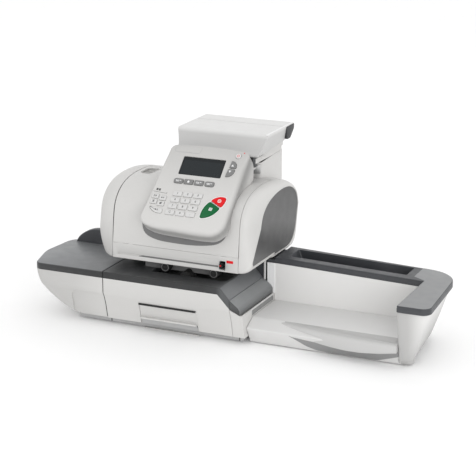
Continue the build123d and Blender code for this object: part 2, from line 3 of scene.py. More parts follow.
import bmesh
import bpy
import numpy as np
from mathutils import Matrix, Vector


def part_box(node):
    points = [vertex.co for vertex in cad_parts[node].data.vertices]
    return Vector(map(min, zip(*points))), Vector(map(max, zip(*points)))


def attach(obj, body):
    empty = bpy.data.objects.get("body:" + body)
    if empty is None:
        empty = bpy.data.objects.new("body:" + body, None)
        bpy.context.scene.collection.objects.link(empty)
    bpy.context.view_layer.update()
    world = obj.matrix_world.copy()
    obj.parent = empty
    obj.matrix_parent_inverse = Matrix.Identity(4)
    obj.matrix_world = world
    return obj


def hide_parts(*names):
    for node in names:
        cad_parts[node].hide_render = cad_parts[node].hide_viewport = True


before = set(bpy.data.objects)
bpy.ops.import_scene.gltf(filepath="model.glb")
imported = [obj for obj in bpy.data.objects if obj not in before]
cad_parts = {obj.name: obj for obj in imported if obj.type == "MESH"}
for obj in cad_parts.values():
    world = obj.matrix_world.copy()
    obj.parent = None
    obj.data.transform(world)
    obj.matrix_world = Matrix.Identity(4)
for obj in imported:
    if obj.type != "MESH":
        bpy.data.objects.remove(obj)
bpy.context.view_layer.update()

# Lengths below are in millimetres from the mail path's corner: x runs right from the seam
# between the exit tray and the base, y runs back from the deck's front edge, z up from the deck.
MM = 0.001
SEAM = 0.4
deck_low, deck_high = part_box("base_deck")
CORNER = Vector((deck_low.x - SEAM * MM, deck_low.y, deck_high.z))


def at(x, y, z):
    """A point of the mail path's frame as a point of the row frame, in metres."""
    return CORNER + Vector((x, y, z)) * MM


# ---- node helpers for the materials
class Shader:
    """One material's node tree, built by short calls."""

    def __init__(self, name):
        self.material = bpy.data.materials.new(name)
        self.material.use_nodes = True
        self.tree = self.material.node_tree
        self.surface = self.tree.nodes["Principled BSDF"]
        self.place = self.add("ShaderNodeTexCoord").outputs["Object"]

    def add(self, kind, inputs=(), **settings):
        """A new node, with constants for its inputs and its settings."""
        node = self.tree.nodes.new(kind)
        for key, value in settings.items():
            setattr(node, key, value)
        for socket, value in dict(inputs).items():
            node.inputs[socket].default_value = value
        return node

    def link(self, output, socket):
        self.tree.links.new(output, socket)

    def noise(self, scale, detail=3.0, stretch=None):
        """Fractal noise with this many features to the metre."""
        node = self.add("ShaderNodeTexNoise", {"Scale": scale, "Detail": detail})
        place = self.place
        if stretch:
            mapping = self.add("ShaderNodeMapping", {"Scale": stretch})
            self.link(place, mapping.inputs["Vector"])
            place = mapping.outputs["Vector"]
        self.link(place, node.inputs["Vector"])
        return node.outputs["Fac"]

    def ramp(self, value, stops):
        node = self.add("ShaderNodeValToRGB")
        elements = node.color_ramp.elements
        while len(elements) < len(stops):
            elements.new(0.5)
        for element, (position, colour) in zip(elements, stops):
            element.position = position
            element.color = (*colour, 1)
        self.link(value, node.inputs["Fac"])
        return node.outputs["Color"]

    def spread(self, value, low, high, from_low=0.3, from_high=0.7):
        node = self.add("ShaderNodeMapRange", {"From Min": from_low, "From Max": from_high, "To Min": low,
                                               "To Max": high})
        self.link(value, node.inputs["Value"])
        return node.outputs["Result"]

    def times(self, a, b):
        node = self.add("ShaderNodeMix", {"Factor": 1.0}, data_type="RGBA", blend_type="MULTIPLY")
        self.link(a, node.inputs["A"])
        self.link(b, node.inputs["B"])
        return node.outputs["Result"]

    def fade(self, direction, stops):
        """A grey that follows stops of (millimetres along a direction from the mail path's corner, share)."""
        node = self.add("ShaderNodeVectorMath", operation="DOT_PRODUCT")
        self.link(self.place, node.inputs[0])
        node.inputs[1].default_value = direction
        start, first, last = CORNER.dot(Vector(direction)), stops[0][0], stops[-1][0]
        share = self.spread(node.outputs["Value"], 0, 1, start + first * MM, start + last * MM)
        return self.ramp(share, [((place - first) / (last - first), (kept,) * 3) for place, kept in stops])

    def bump(self, height, depth_mm, before=None):
        node = self.add("ShaderNodeBump", {"Distance": depth_mm * MM, "Strength": 1.0})
        self.link(height, node.inputs["Height"])
        if before:
            self.link(before, node.inputs["Normal"])
        return node.outputs["Normal"]

    def feed(self, socket, output):
        self.link(output, self.surface.inputs[socket])

    def set(self, **constants):
        for name, value in constants.items():
            self.surface.inputs[name.replace("_", " ")].default_value = value


def tone(value, warmth=0.0):
    """A grey of this sRGB brightness from 0 to 1, made a little warmer or cooler, as linear colour."""
    channels = (value + warmth / 2, value, value - warmth)
    return tuple(((c + 0.055) / 1.055) ** 2.4 if c > 0.04 else c / 12.92 for c in channels)


def rgb(red, green, blue):
    """An sRGB colour of 0 to 255 channels as linear colour."""
    return tuple(((c / 255 + 0.055) / 1.055) ** 2.4 for c in (red, green, blue))


def mixed(a, b, share):
    return tuple(x + (y - x) * share for x, y in zip(a, b))


def moulded(name, colour, rough=(0.42, 0.55), grain=0.01, drift=0.012, speck=0.0, gloss=0.5, fades=()):
    """Moulded plastic: a fine spark-eroded grain, slow drifts of tone and small specks of another shade.

    Each fade is a direction and the share of the colour kept at lengths along it; the fades paint light and
    shade into the colour.
    """
    s = Shader(name)
    darker = mixed(colour, (0, 0, 0), drift * 2)
    lighter = mixed(colour, (1, 1, 1), drift)
    cloud = s.noise(9, 4)
    base = s.ramp(cloud, [(0.3, darker), (0.55, colour), (0.75, lighter)])
    if speck:
        dots = s.noise(2600, 1)
        fleck = s.ramp(dots, [(0.36, (1 - speck,) * 3), (0.5, (1, 1, 1)), (0.68, (1 + speck * 0.4,) * 3)])
        base = s.times(base, fleck)
    for direction, stops in fades:
        base = s.times(base, s.fade(direction, stops))
    s.feed("Base Color", base)
    s.feed("Roughness", s.spread(s.noise(60, 5), *rough))
    fine = s.bump(s.noise(2100, 2), grain)
    s.feed("Normal", s.bump(s.noise(24, 2), 0.05, fine))
    s.set(IOR=1.5, Specular_IOR_Level=gloss)
    return s.material


def rubber(name):
    s = Shader(name)
    s.feed("Base Color", s.ramp(s.noise(300, 4), [(0.3, tone(0.07)), (0.7, tone(0.16))]))
    s.feed("Roughness", s.spread(s.noise(500, 3), 0.6, 0.85))
    s.feed("Normal", s.bump(s.noise(1500, 3), 0.03))
    return s.material


def metal(name, colour, rough=(0.2, 0.38), stretch=(1, 30, 30)):
    """Drawn or machined metal with fine lines along its length."""
    s = Shader(name)
    lines = s.noise(120, 3, stretch)
    s.feed("Base Color", s.ramp(lines, [(0.3, mixed(colour, (0, 0, 0), 0.15)), (0.7, colour)]))
    s.feed("Roughness", s.spread(lines, *rough))
    s.feed("Normal", s.bump(lines, 0.004))
    s.set(Metallic=1.0)
    return s.material


def screen(name, colour):
    """A dark display behind its clear window: faint rows of cells and a gloss on top."""
    s = Shader(name)
    rows = s.add("ShaderNodeTexWave", {"Scale": 420}, wave_type="BANDS", bands_direction="X")
    s.link(s.place, rows.inputs["Vector"])
    cells = s.ramp(rows.outputs["Fac"], [(0.2, mixed(colour, (0, 0, 0), 0.15)), (0.8, colour)])
    s.feed("Base Color", cells)
    s.feed("Roughness", s.spread(s.noise(40, 3), 0.2, 0.3))
    s.set(IOR=1.45, Specular_IOR_Level=0.3)
    return s.material


def board(name):
    s = Shader(name)
    tracks = s.add("ShaderNodeTexVoronoi", {"Scale": 220}, feature="DISTANCE_TO_EDGE")
    s.link(s.place, tracks.inputs["Vector"])
    green = s.ramp(tracks.outputs["Distance"], [(0.02, rgb(60, 120, 70)), (0.06, rgb(20, 80, 45))])
    s.feed("Base Color", green)
    s.feed("Roughness", s.spread(s.noise(200, 3), 0.3, 0.5))
    return s.material


X_WAY, Y_WAY, Z_WAY = (1.0, 0.0, 0.0), (0.0, 1.0, 0.0), (0.0, 0.0, 1.0)
FACE_OUT, FACE_UP = (0.0, -0.7071, 0.7071), (0.0, 0.7071, 0.7071)

LIGHT = moulded("light_plastic", tone(0.81, 0.008))
# Painted shade: the panel shell darkens down its skirt along FACE_OUT, and up its face under the platform
# along FACE_UP.
SHELL = moulded("panel_plastic", tone(0.82, 0.008), fades=[
    (FACE_OUT, [(16, 1.0), (30, 0.86), (40, 0.62), (48, 0.48), (54, 0.5), (58.5, 0.78), (61.5, 1.0)]),
    (FACE_UP, [(66, 1.0), (140, 0.98), (190, 0.9), (240, 0.8)])])
TRAY = moulded("tray_plastic", tone(0.845, 0.004), (0.4, 0.52))
TONGUE = moulded("tongue_plastic", tone(0.765, 0.004), (0.4, 0.52), fades=[
    (Z_WAY, [(-66, 1.0), (-62.5, 1.0), (-61.2, 0.86)])])
# Painted light and shade: a brighter copy of the light plastic for the lit wall, with shade painted on the
# arm's front, darkest near x 549.5 to 566.
FEEDER = moulded("feeder_plastic", tone(0.93, 0.006), drift=0.01, fades=[
    (X_WAY, [(270, 0.98), (500, 0.88), (547, 0.8), (549.5, 0.52), (566, 0.56), (600, 0.9)])])
# Painted light: an extra-bright copy of the light plastic for the wall's cheek.
CHEEK_PAINTED_LIGHT = moulded("cheek_painted_light", tone(0.97), grain=0.008, drift=0.01)
# Painted shade: the platform plate darkens below its top, over its nose and sides.
WHITE = moulded("platter_plastic", tone(0.85, 0.004), (0.34, 0.46), grain=0.008, drift=0.01, fades=[
    (Z_WAY, [(196, 0.74), (226, 0.78), (232, 1.0)])])
DARK = moulded("charcoal_plastic", tone(0.26, -0.014), (0.36, 0.48), grain=0.014, drift=0.03, speck=0.06)
NIGHT = moulded("end_cap_plastic", tone(0.17, -0.012), (0.4, 0.5), grain=0.012, drift=0.04)
# Painted shadow: the base deck darkens to about a quarter where the head overhangs it, left of x 196, and
# along its front band.
DECK = moulded("deck_plastic", rgb(114, 116, 118), (0.34, 0.46), grain=0.014, drift=0.03, speck=0.05, fades=[
    (X_WAY, [(196, 0.26), (222, 0.42), (232, 1.0)]), (Y_WAY, [(0, 0.5), (1.2, 0.62), (2.6, 1.0)])])
# Painted reflection: the exit deck's top is a pale sheen grey that brightens towards the left; below the top
# edge the band drops back to a dark grey.
EXIT_TOP = moulded("exit_top_plastic", rgb(128, 130, 132), (0.34, 0.46), drift=0.02, fades=[
    (X_WAY, [(-150, 1.0), (-10, 0.66)]), (Z_WAY, [(-1.5, 0.17), (-0.6, 0.4), (0, 1.0)])])
# Painted shade: the hood darkens at its front edge and towards its foot.
HOOD = moulded("hood_plastic", rgb(128, 130, 131), (0.34, 0.46), drift=0.03, fades=[
    (Y_WAY, [(0, 0.35), (1.0, 1.0)]), (Z_WAY, [(-45, 0.4), (-37, 0.75), (-31, 1.0)])])
ARM_CAP = moulded("arm_cap_plastic", rgb(138, 139, 140), (0.4, 0.5), drift=0.02)
# Painted shade: the side panel darkens low down and lightens at the top, standing in for the shading of a
# scooped face.
SIDE = moulded("side_plastic", tone(0.5), (0.46, 0.56), grain=0.02, drift=0.015, speck=0.08, fades=[
    ((0.0, 0.27, 1.0), [(45, 0.75), (60, 0.68), (76, 0.42), (88, 0.27), (98, 0.29), (112, 0.45), (128, 0.58),
                        (150, 0.55), (190, 0.42)])])
# Painted shade: the exit casing darkens towards its left end.
EXIT = moulded("exit_plastic", tone(0.81, 0.008), fades=[
    (X_WAY, [(-146, 0.82), (-60, 0.88), (0, 1.0)])])
# Painted shade: the left cap darkens towards its foot.
LEFT_CAP = moulded("left_cap_plastic", tone(0.81, 0.008), fades=[
    (Z_WAY, [(16, 0.78), (45, 0.86), (85, 1.0)])])
PLINTH = moulded("plinth_plastic", tone(0.72), (0.5, 0.62), grain=0.02, drift=0.04, speck=0.08)
# A mid grey: the real grey of the roller rings and the wall behind the rollers, and painted shade in the
# guard strip's slot and under the panel's skirt.
GREY_AND_SHADE = moulded("grey_and_shade_plastic", tone(0.46), (0.5, 0.62), grain=0.02, drift=0.04, speck=0.05)
# Painted shade: a grey for the shaded underside of the tongue and the shaded inside face of the bay under the
# hood.
SHADE_GREY = moulded("painted_shade_grey", tone(0.56), (0.5, 0.62), grain=0.02, drift=0.03)
# Painted shade: the gusset darkens towards its foot.
GUSSET = moulded("gusset_plastic", tone(0.8), drift=0.02, fades=[
    (Z_WAY, [(150, 0.3), (163, 0.6), (174, 0.95)])])
BLACK = moulded("black_plastic_finish", tone(0.1), (0.4, 0.6), grain=0.015, drift=0.1)
KEY_WHITE = moulded("key_plastic", tone(0.83, 0.004), (0.32, 0.42), grain=0.004, drift=0.01)
KEY_GREY = moulded("key_grey_plastic", tone(0.5), (0.3, 0.42), grain=0.004, drift=0.03)
RED = moulded("key_red_plastic", rgb(222, 24, 30), (0.3, 0.4), grain=0.004, drift=0.03, gloss=0.2)
GREEN = moulded("key_green_plastic", rgb(0, 98, 52), (0.3, 0.4), grain=0.004, drift=0.03, gloss=0.15)
INK = moulded("grey_ink", tone(0.33), (0.5, 0.6), grain=0.002, drift=0.06, gloss=0.3)
PALE_INK = moulded("pale_ink", tone(0.93), (0.45, 0.55), grain=0.002, drift=0.02)
LAMP = moulded("red_lamp", rgb(226, 60, 60), (0.2, 0.3), grain=0.002, drift=0.03, gloss=0.3)
RUBBER = rubber("rubber_finish")
STEEL = metal("steel_finish", tone(0.82))
SCREEN = screen("display_finish", rgb(26, 30, 33))
CELLS = screen("display_cells_finish", rgb(36, 41, 44))
BOARD = board("board_finish")

FINISH_OF_NODE = {"transport_hood": HOOD, "base_deck": DECK, "scale_base": LIGHT}
FINISH_OF_SLOT = {
    "light_casing": LIGHT, "tray_light": TRAY, "platter_light": WHITE, "dark_deck": DARK,
    "side_grey": SIDE, "plinth_grey": PLINTH, "black_plastic": BLACK, "rubber": RUBBER,
    "steel": STEEL, "circuit_board": BOARD, "display_glass": SCREEN, "key_light": KEY_WHITE,
    "key_grey": KEY_GREY, "key_red": RED, "key_green": GREEN,
}


# ---- outlines
def curve_through(points, count):
    """Evenly spaced points of a natural cubic spline through points of any dimension."""
    knots = np.array(points, float)
    steps = np.linalg.norm(np.diff(knots, axis=0), axis=1)
    t = np.concatenate([[0], np.cumsum(steps)])
    size = len(knots)
    system = np.zeros((size, size))
    right = np.zeros_like(knots)
    system[0, 0] = system[-1, -1] = 1
    for i in range(1, size - 1):
        before, after = t[i] - t[i - 1], t[i + 1] - t[i]
        system[i, i - 1:i + 2] = before, 2 * (before + after), after
        right[i] = 6 * ((knots[i + 1] - knots[i]) / after - (knots[i] - knots[i - 1]) / before)
    bend = np.linalg.solve(system, right)
    made = []
    for s in np.linspace(0, t[-1], count):
        i = min(int(np.searchsorted(t, s, side="right")) - 1, size - 2)
        span, a, b = t[i + 1] - t[i], t[i + 1] - s, s - t[i]
        made.append((bend[i] * a ** 3 + bend[i + 1] * b ** 3) / (6 * span)
                    + (knots[i] / span - bend[i] * span / 6) * a
                    + (knots[i + 1] / span - bend[i + 1] * span / 6) * b)
    return [tuple(p) for p in made]


def arc_through(start, mid, end, count):
    """Points of the circular arc through three 2-D points, ends included."""
    (ax, ay), (bx, by), (cx, cy) = start, mid, end
    d = 2 * (ax * (by - cy) + bx * (cy - ay) + cx * (ay - by))
    a2, b2, c2 = ax * ax + ay * ay, bx * bx + by * by, cx * cx + cy * cy
    ux = (a2 * (by - cy) + b2 * (cy - ay) + c2 * (ay - by)) / d
    uy = (a2 * (cx - bx) + b2 * (ax - cx) + c2 * (bx - ax)) / d
    radius = math.hypot(ax - ux, ay - uy)
    first = math.atan2(ay - uy, ax - ux)
    turn = (math.atan2(cy - uy, cx - ux) - first) % math.tau
    if (math.atan2(by - uy, bx - ux) - first) % math.tau > turn:
        turn -= math.tau
    return [circle_point((ux, uy), radius, first + turn * i / (count - 1)) for i in range(count)]


def corner_arc(before, corner, after, radius, steps=6):
    """Points of the short arc that rounds a corner between its two neighbours."""
    here = Vector(corner)
    a_way, b_way = (Vector(before) - here).normalized(), (Vector(after) - here).normalized()
    half = a_way.angle(b_way) / 2
    centre = here + (a_way + b_way).normalized() * radius / math.sin(half)
    spoke = here + a_way * radius / math.tan(half) - centre
    last = here + b_way * radius / math.tan(half) - centre
    turn = math.atan2(spoke.x * last.y - spoke.y * last.x, spoke.dot(last))
    first = math.atan2(spoke.y, spoke.x)
    return [circle_point(centre, spoke.length, first + turn * k / steps) for k in range(steps + 1)]


def circle_point(centre, radius, angle):
    return (centre[0] + radius * math.cos(angle), centre[1] + radius * math.sin(angle))


def circle(x, y, radius, count=28):
    return [circle_point((x, y), radius, math.tau * k / count) for k in range(count)]


def rounded(corners, radii, steps=8):
    """A closed outline whose corners are rounded to their radii; a radius of 0 keeps a corner sharp."""
    if not isinstance(radii, (list, tuple)):
        radii = [radii] * len(corners)
    outline = []
    for i, (corner, radius) in enumerate(zip(corners, radii)):
        after = corners[(i + 1) % len(corners)]
        outline += corner_arc(corners[i - 1], corner, after, radius, steps) if radius else [corner]
    return outline


def box_outline(x, y, width, height, radius=0.0, steps=4):
    a, b = width / 2, height / 2
    return rounded(rect(x + a, y + b, x - a, y - b), radius, steps)


def rect(x0, y0, x1, y1, radius=0.0, steps=4):
    return rounded([(x0, y0), (x1, y0), (x1, y1), (x0, y1)], radius, steps)


def straight(start, end, count=8):
    return [tuple(Vector(start).lerp(Vector(end), k / (count - 1))) for k in range(count)]


def run_moved(run, inset):
    """An open run of points moved square to itself."""
    moved = []
    for i, (y, z) in enumerate(run):
        before, after = run[max(i - 1, 0)], run[min(i + 1, len(run) - 1)]
        along = Vector((after[0] - before[0], after[1] - before[1])).normalized()
        moved.append((y + inset * along.y, z - inset * along.x))
    return moved


def read_off(value, stops):
    """The height of a broken line through (place, height) stops at a place."""
    return float(np.interp(value, *zip(*stops)))


def trimmed(run, from_start, from_end):
    """An open run of points with a length cut off each end."""
    for _ in range(2):
        left, run = from_start, list(run)
        while left > 0:
            step = (Vector(run[1]) - Vector(run[0])).length
            if step > left:
                run[0] = tuple(Vector(run[0]).lerp(Vector(run[1]), left / step))
                break
            left -= step
            run.pop(0)
        run = run[::-1]
        from_start, from_end = from_end, from_start
    return run


def joined(runs, eases, steps=8):
    """A closed outline from open runs that meet at corners, each corner eased over a length either side."""
    pieces = []
    for i, run in enumerate(runs):
        pieces.append(trimmed(run, eases[i], eases[(i + 1) % len(runs)]))
    outline = []
    for i, piece in enumerate(pieces):
        outline += piece
        follower = pieces[(i + 1) % len(pieces)]
        ease = eases[(i + 1) % len(runs)]
        if not ease:
            outline.pop()
            continue
        a, d = Vector(piece[-1]), Vector(follower[0])
        b = a + (a - Vector(piece[-2])).normalized() * ease * 0.56
        c = d + (d - Vector(follower[1])).normalized() * ease * 0.56
        for k in range(1, steps):
            t = k / steps
            point = a * (1 - t) ** 3 + b * 3 * t * (1 - t) ** 2 + c * 3 * t * t * (1 - t) + d * t ** 3
            outline.append(tuple(point))
    return outline


def moved_in(outline, amount):
    """A closed counter-clockwise outline moved inwards by an amount at every point."""
    made = []
    for i, point in enumerate(outline):
        before, after = Vector(outline[i - 1]), Vector(outline[(i + 1) % len(outline)])
        here = Vector(point)
        a, b = (here - before), (after - here)
        a = a.normalized() if a.length > 1e-9 else b.normalized()
        b = b.normalized() if b.length > 1e-9 else a
        normal = Vector((-(a.y + b.y), a.x + b.x)).normalized()
        stretch = 1 / max(0.5, normal.dot(Vector((-a.y, a.x))))
        made.append(tuple(here + normal * amount * stretch))
    return made


# ---- mesh helpers
def skin(rings, filled=True):
    """Points and faces of a surface laid over closed rings of equal length, with its ends filled or open."""
    points = [p for ring in rings for p in ring]
    size = len(rings[0])
    faces = []
    for r in range(len(rings) - 1):
        for i in range(size):
            j = (i + 1) % size
            faces.append((r * size + i, r * size + j, (r + 1) * size + j, (r + 1) * size + i))
    if filled:
        faces.append(tuple(range(size))[::-1])
        faces.append(tuple((len(rings) - 1) * size + i for i in range(size)))
    return points, faces


def linked(name, data):
    """A new object in the scene, holding this data."""
    made = bpy.data.objects.new(name, data)
    bpy.context.scene.collection.objects.link(made)
    return made


def object_from(bm, name, materials, smooth, weld=2e-6):
    """Turns a bmesh into an object, welded, with its normals outwards."""
    bmesh.ops.remove_doubles(bm, verts=bm.verts, dist=weld)
    bmesh.ops.recalc_face_normals(bm, faces=bm.faces)
    made = linked(name, bpy.data.meshes.new(name))
    bm.to_mesh(made.data)
    bm.free()
    for material in materials:
        made.data.materials.append(material)
    shade(made, smooth)
    return made


def solid(name, points, faces, material, smooth=35):
    """A mesh object from points in the mail path's millimetres."""
    bm = bmesh.new()
    verts = [bm.verts.new(at(*p)) for p in points]
    for face in faces:
        bm.faces.new([verts[i] for i in face])
    return object_from(bm, name, [material], smooth)


def lofted(name, rings, material, smooth=35):
    """A solid skinned over closed rings of equal length, with its ends filled."""
    return solid(name, *skin(rings), material, smooth)


def placed(outline, place, depth):
    """A 2-D outline as points at a depth; place turns (a, b, depth) into a point."""
    return [place(a, b, depth) for a, b in outline]


def layers(outline, steps, place):
    """Rings of an outline drawn in and set at a depth, by steps of (inset, depth)."""
    return [placed(moved_in(outline, inset), place, depth) for inset, depth in steps]


def shade(made, angle=35):
    made.data.shade_smooth()
    made.data.set_sharp_from_angle(angle=math.radians(angle))


def bevel(made, width, segments=3, angle=40):
    """Rounds the sharp edges of a piece, in millimetres."""
    modifier = made.modifiers.new("rounded_edges", "BEVEL")
    modifier.width = width * MM
    modifier.segments = segments
    modifier.limit_method = "ANGLE"
    modifier.angle_limit = math.radians(angle)
    modifier.use_clamp_overlap = True
    weigh(made)


def weigh(made):
    modifier = made.modifiers.new("face_normals", "WEIGHTED_NORMAL")
    modifier.keep_sharp = True
    modifier.weight = 80


def carve(made, cutter, operation="DIFFERENCE"):
    """Cuts one mesh with another and drops the cutter."""
    modifier = made.modifiers.new("cut", "BOOLEAN")
    modifier.object = cutter
    modifier.operation = operation
    modifier.solver = "EXACT"
    bpy.context.view_layer.update()
    cut = bpy.data.meshes.new_from_object(made.evaluated_get(bpy.context.evaluated_depsgraph_get()))
    made.modifiers.clear()
    old, made.data = made.data, cut
    bpy.data.meshes.remove(old)
    bpy.data.objects.remove(cutter)
    shade(made)


def settle(made, body, slot, *stands_for):
    """Puts a finished piece on its body and hides the CAD nodes it stands for; the slot is not used."""
    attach(made, body)
    if stands_for:
        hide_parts(*stands_for)


def prism(name, outline, place, start, end, material):
    """A solid between two copies of a 2-D outline."""
    return lofted(name, [placed(outline, place, depth) for depth in (start, end)], material)


def along_x(a, b, depth):
    return (depth, a, b)


def along_y(a, b, depth):
    return (a, depth, b)


def along_z(a, b, depth):
    return (a, b, depth)


def dress(node):
    """Gives a carried-over CAD node its finish, with its flat faces joined and its edges kept sharp."""
    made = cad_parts[node]
    mesh = made.data
    for index, material in enumerate(mesh.materials):
        mesh.materials[index] = FINISH_OF_NODE.get(node, FINISH_OF_SLOT[material.name])
    normals = mesh.attributes.get("custom_normal")
    if normals:
        mesh.attributes.remove(normals)
    mesh.shade_smooth()
    weld = made.modifiers.new("joined_faces", "WELD")
    weld.merge_threshold = 1e-5
    merge = made.modifiers.new("flat_faces", "DECIMATE")
    merge.decimate_type = "DISSOLVE"
    merge.angle_limit = math.radians(1)
    split = made.modifiers.new("sharp_edges", "EDGE_SPLIT")
    split.split_angle = math.radians(32)


# ---- camera, light and floor
LENS, SENSOR = 121.0, 36.0
CAMERA_PLACE = (1336.0, -2373.6, 866.2)
CAMERA_TILT, CAMERA_TURN = math.radians(73.5), math.radians(24.3)
SKY_STRENGTH = 0.97
FLOOR_GLOW = 0.045


def make_camera():
    data = bpy.data.cameras.new("camera")
    data.lens, data.sensor_width = LENS, SENSOR
    data.clip_end = 30
    camera = linked("camera", data)
    camera.location = at(*CAMERA_PLACE)
    camera.rotation_euler = (CAMERA_TILT, 0, CAMERA_TURN)
    bpy.context.scene.camera = camera


def make_light(name, place, target, size, power):
    data = bpy.data.lights.new(name, "AREA")
    data.shape = "RECTANGLE"
    data.size, data.size_y = size
    data.energy = power
    lamp = linked(name, data)
    lamp.location = place
    lamp.rotation_euler = (Vector(target) - Vector(place)).to_track_quat("-Z", "Y").to_euler()


def make_studio():
    world = bpy.data.worlds.new("studio")
    bpy.context.scene.world = world
    world.use_nodes = True
    sky = world.node_tree.nodes["Background"]
    sky.inputs["Color"].default_value = (1.0, 1.0, 1.0, 1)
    sky.inputs["Strength"].default_value = SKY_STRENGTH
    make_light("right_key", (1.9, -2.1, 0.7), (0.1, 0, 0.1), (1.4, 1.2), 14)
    make_light("rear_top", (0.2, 1.5, 2.0), (0, 0.1, 0.1), (3.0, 1.0), 4)
    bpy.context.scene.view_settings.view_transform = "Standard"
    bpy.context.scene.view_settings.look = "None"


def make_floor():
    """A pale studio sweep: flat under the object and curving up far behind it."""
    run = [(-6, 0), (4, 0)] + arc_through((4, 0), (5.7, 0.7), (6.4, 2.4), 12)[1:] + [(6.4, 6)]
    mesh = bpy.data.meshes.new("floor")
    bm = bmesh.new()
    rows = [[bm.verts.new((x, y, z)) for y, z in run] for x in (-9, 9)]
    for i in range(len(run) - 1):
        bm.faces.new((rows[0][i], rows[1][i], rows[1][i + 1], rows[0][i + 1]))
    bm.to_mesh(mesh)
    bm.free()
    mesh.shade_smooth()
    floor = linked("floor", mesh)
    s = Shader("floor_paper")
    s.feed("Base Color", s.ramp(s.noise(2, 2), [(0.3, tone(0.985)), (0.7, tone(0.99))]))
    s.feed("Roughness", s.spread(s.noise(30, 3), 0.75, 0.9))
    s.surface.inputs["Emission Color"].default_value = (1, 1, 1, 1)
    s.surface.inputs["Emission Strength"].default_value = FLOOR_GLOW
    mesh.materials.append(s.material)


make_camera()
make_studio()
make_floor()


# ---- printing head
HEAD_FULL = [(45.5, 88.0), (52, 114), (70, 135), (104, 149), (150, 153), (196, 150.4), (236, 139), (259, 119),
             (267.5, 96)]
HEAD_TIGHT = [(84, 88), (92, 108), (108, 123), (136, 134), (166, 138.5), (200, 138), (230, 130), (250, 114),
              (257, 94)]
HEAD_UNDER = 17.0
SHOULDER = 88.0
FENCE_Y = 148.0
CAP_LEFT, CAP_RIGHT = -36.0, 270.0
COVER_RIGHT = 246.5
COVER_REAR = 184.0
COVER_LOW = 45.2
WALL = 2.6


def top_run(share, inset=0.0, count=48):
    """The head's side outline over its top, drawn in by a share towards the flat of its end."""
    knots = [(a + (c - a) * share, b + (d - b) * share) for (a, b), (c, d) in zip(HEAD_FULL, HEAD_TIGHT)]
    return run_moved(curve_through(knots, count), inset)


def ring_through(run, low_front, low_rear, front_radius, rear_radius, inset):
    """A closed side outline from its top run and its two bottom corners, with the step at the rear fence."""
    (_, high_z), (_, low_z) = low_front, low_rear
    front = corner_arc((FENCE_Y, high_z), low_front, run[0], front_radius)
    rear = corner_arc(run[-1], low_rear, (FENCE_Y, low_z), rear_radius)
    front_line, rear_line = straight(front[-1], run[0])[1:-1], straight(run[-1], rear[0])[1:-1]
    return front + front_line + run + rear_line + rear + [(FENCE_Y + inset, low_z), (FENCE_Y + inset, high_z)]


def head_ring(share, inset=0.0):
    """The head's side outline at a share of the way to the flat of its left end."""
    low_front = (39 + 18 * share + inset, HEAD_UNDER + 9 * share + inset)
    low_rear = (254 - 10 * share - inset, 0.3 + 14 * share + inset)
    return ring_through(top_run(share, inset), low_front, low_rear, 2.5 + 9 * share, 3 + 8 * share, inset)


def right_ring(share, inset=0.0):
    """The same for the right end, whose foot leans forward and whose rear corner is large."""
    low_front = (39 + 5 * share + inset, HEAD_UNDER + 11 * share + inset)
    low_rear = (254 - 14 * share - inset, 16 + 8 * share + inset)
    return ring_through(top_run(share, inset), low_front, low_rear, 2.5 + 3.5 * share, 3 + 34 * share, inset)


def cap_rings(ring, x_seam, x_outer, reach=1.0, turns=14):
    """Rings of an end cap, swept round in a quarter ellipse to the flat of its end."""
    angles = [math.pi / 2 * k / turns for k in range(turns + 1)]
    span = x_outer - x_seam
    return [placed(ring(reach * (1 - math.cos(angle))), along_x, x_seam + span * math.sin(angle))
            for angle in angles]


def drawn_to(ring, middle, shares):
    """Rings that draw in to a middle point by shares of the way."""
    return [[tuple(Vector(p).lerp(Vector(middle), share)) for p in ring] for share in shares]


def taper_left(point):
    """The left cap leans inwards below the middle of the head."""
    x, y, z = point
    lean = 19.4 * (min(53.0, max(0.0, 70 - z)) / 53) ** 1.7
    return (x - lean * x / 36, y, z)


def make_left_cap():
    seam = -1.5
    rings = cap_rings(head_ring, seam, CAP_LEFT, 0.55)
    rings += drawn_to(rings[-1], (CAP_LEFT, 170, 80), (0.25, 0.5, 0.75, 0.97))
    rings = [[taper_left(p) for p in ring] for ring in rings]
    inside = [placed(head_ring(0.02, 9), along_x, -14), placed(head_ring(0.02, 2.4), along_x, seam)]
    cap = lofted("left_cap_shell", inside + rings, LEFT_CAP, smooth=42)
    bevel(cap, 0.4, 2, 60)
    settle(cap, "chassis", "light_casing", "head_left_cap")
    gap = prism("left_seam", head_ring(0, 1.4), along_x, seam - 0.3, 0.1, BLACK)
    settle(gap, "chassis", "black_plastic")


def make_right_cap():
    """The right cap ends in a proud rim round a sunk grey panel."""
    edge, seam = CAP_RIGHT - 0.2, COVER_RIGHT + SEAM
    rings = cap_rings(right_ring, seam, edge, turns=12)
    rings += [placed(right_ring(share), along_x, edge - drop)
              for drop, share in ((0, 1.035), (0.5, 1.06), (3.2, 1.07))]
    inside = [placed(right_ring(0.02, inset), along_x, x) for inset, x in ((9, COVER_RIGHT + 6), (2.4, seam))]
    cap = lofted("right_cap_shell", inside + rings, LIGHT, smooth=42)
    settle(cap, "chassis", "light_casing", "head_right_cap")
    face = CAP_RIGHT - 1.2
    rings = [placed(right_ring(share), along_x, face - depth)
             for depth, share in ((2.0, 1.08), (0.9, 1.08), (0.25, 1.09), (0, 1.12))]
    rings += drawn_to(rings[-1], (face, 160, 82), (0.3, 0.6, 0.97))
    panel = lofted("side_panel_face", rings, SIDE, smooth=40)
    weigh(panel)
    settle(panel, "chassis", "side_grey", "side_panel")


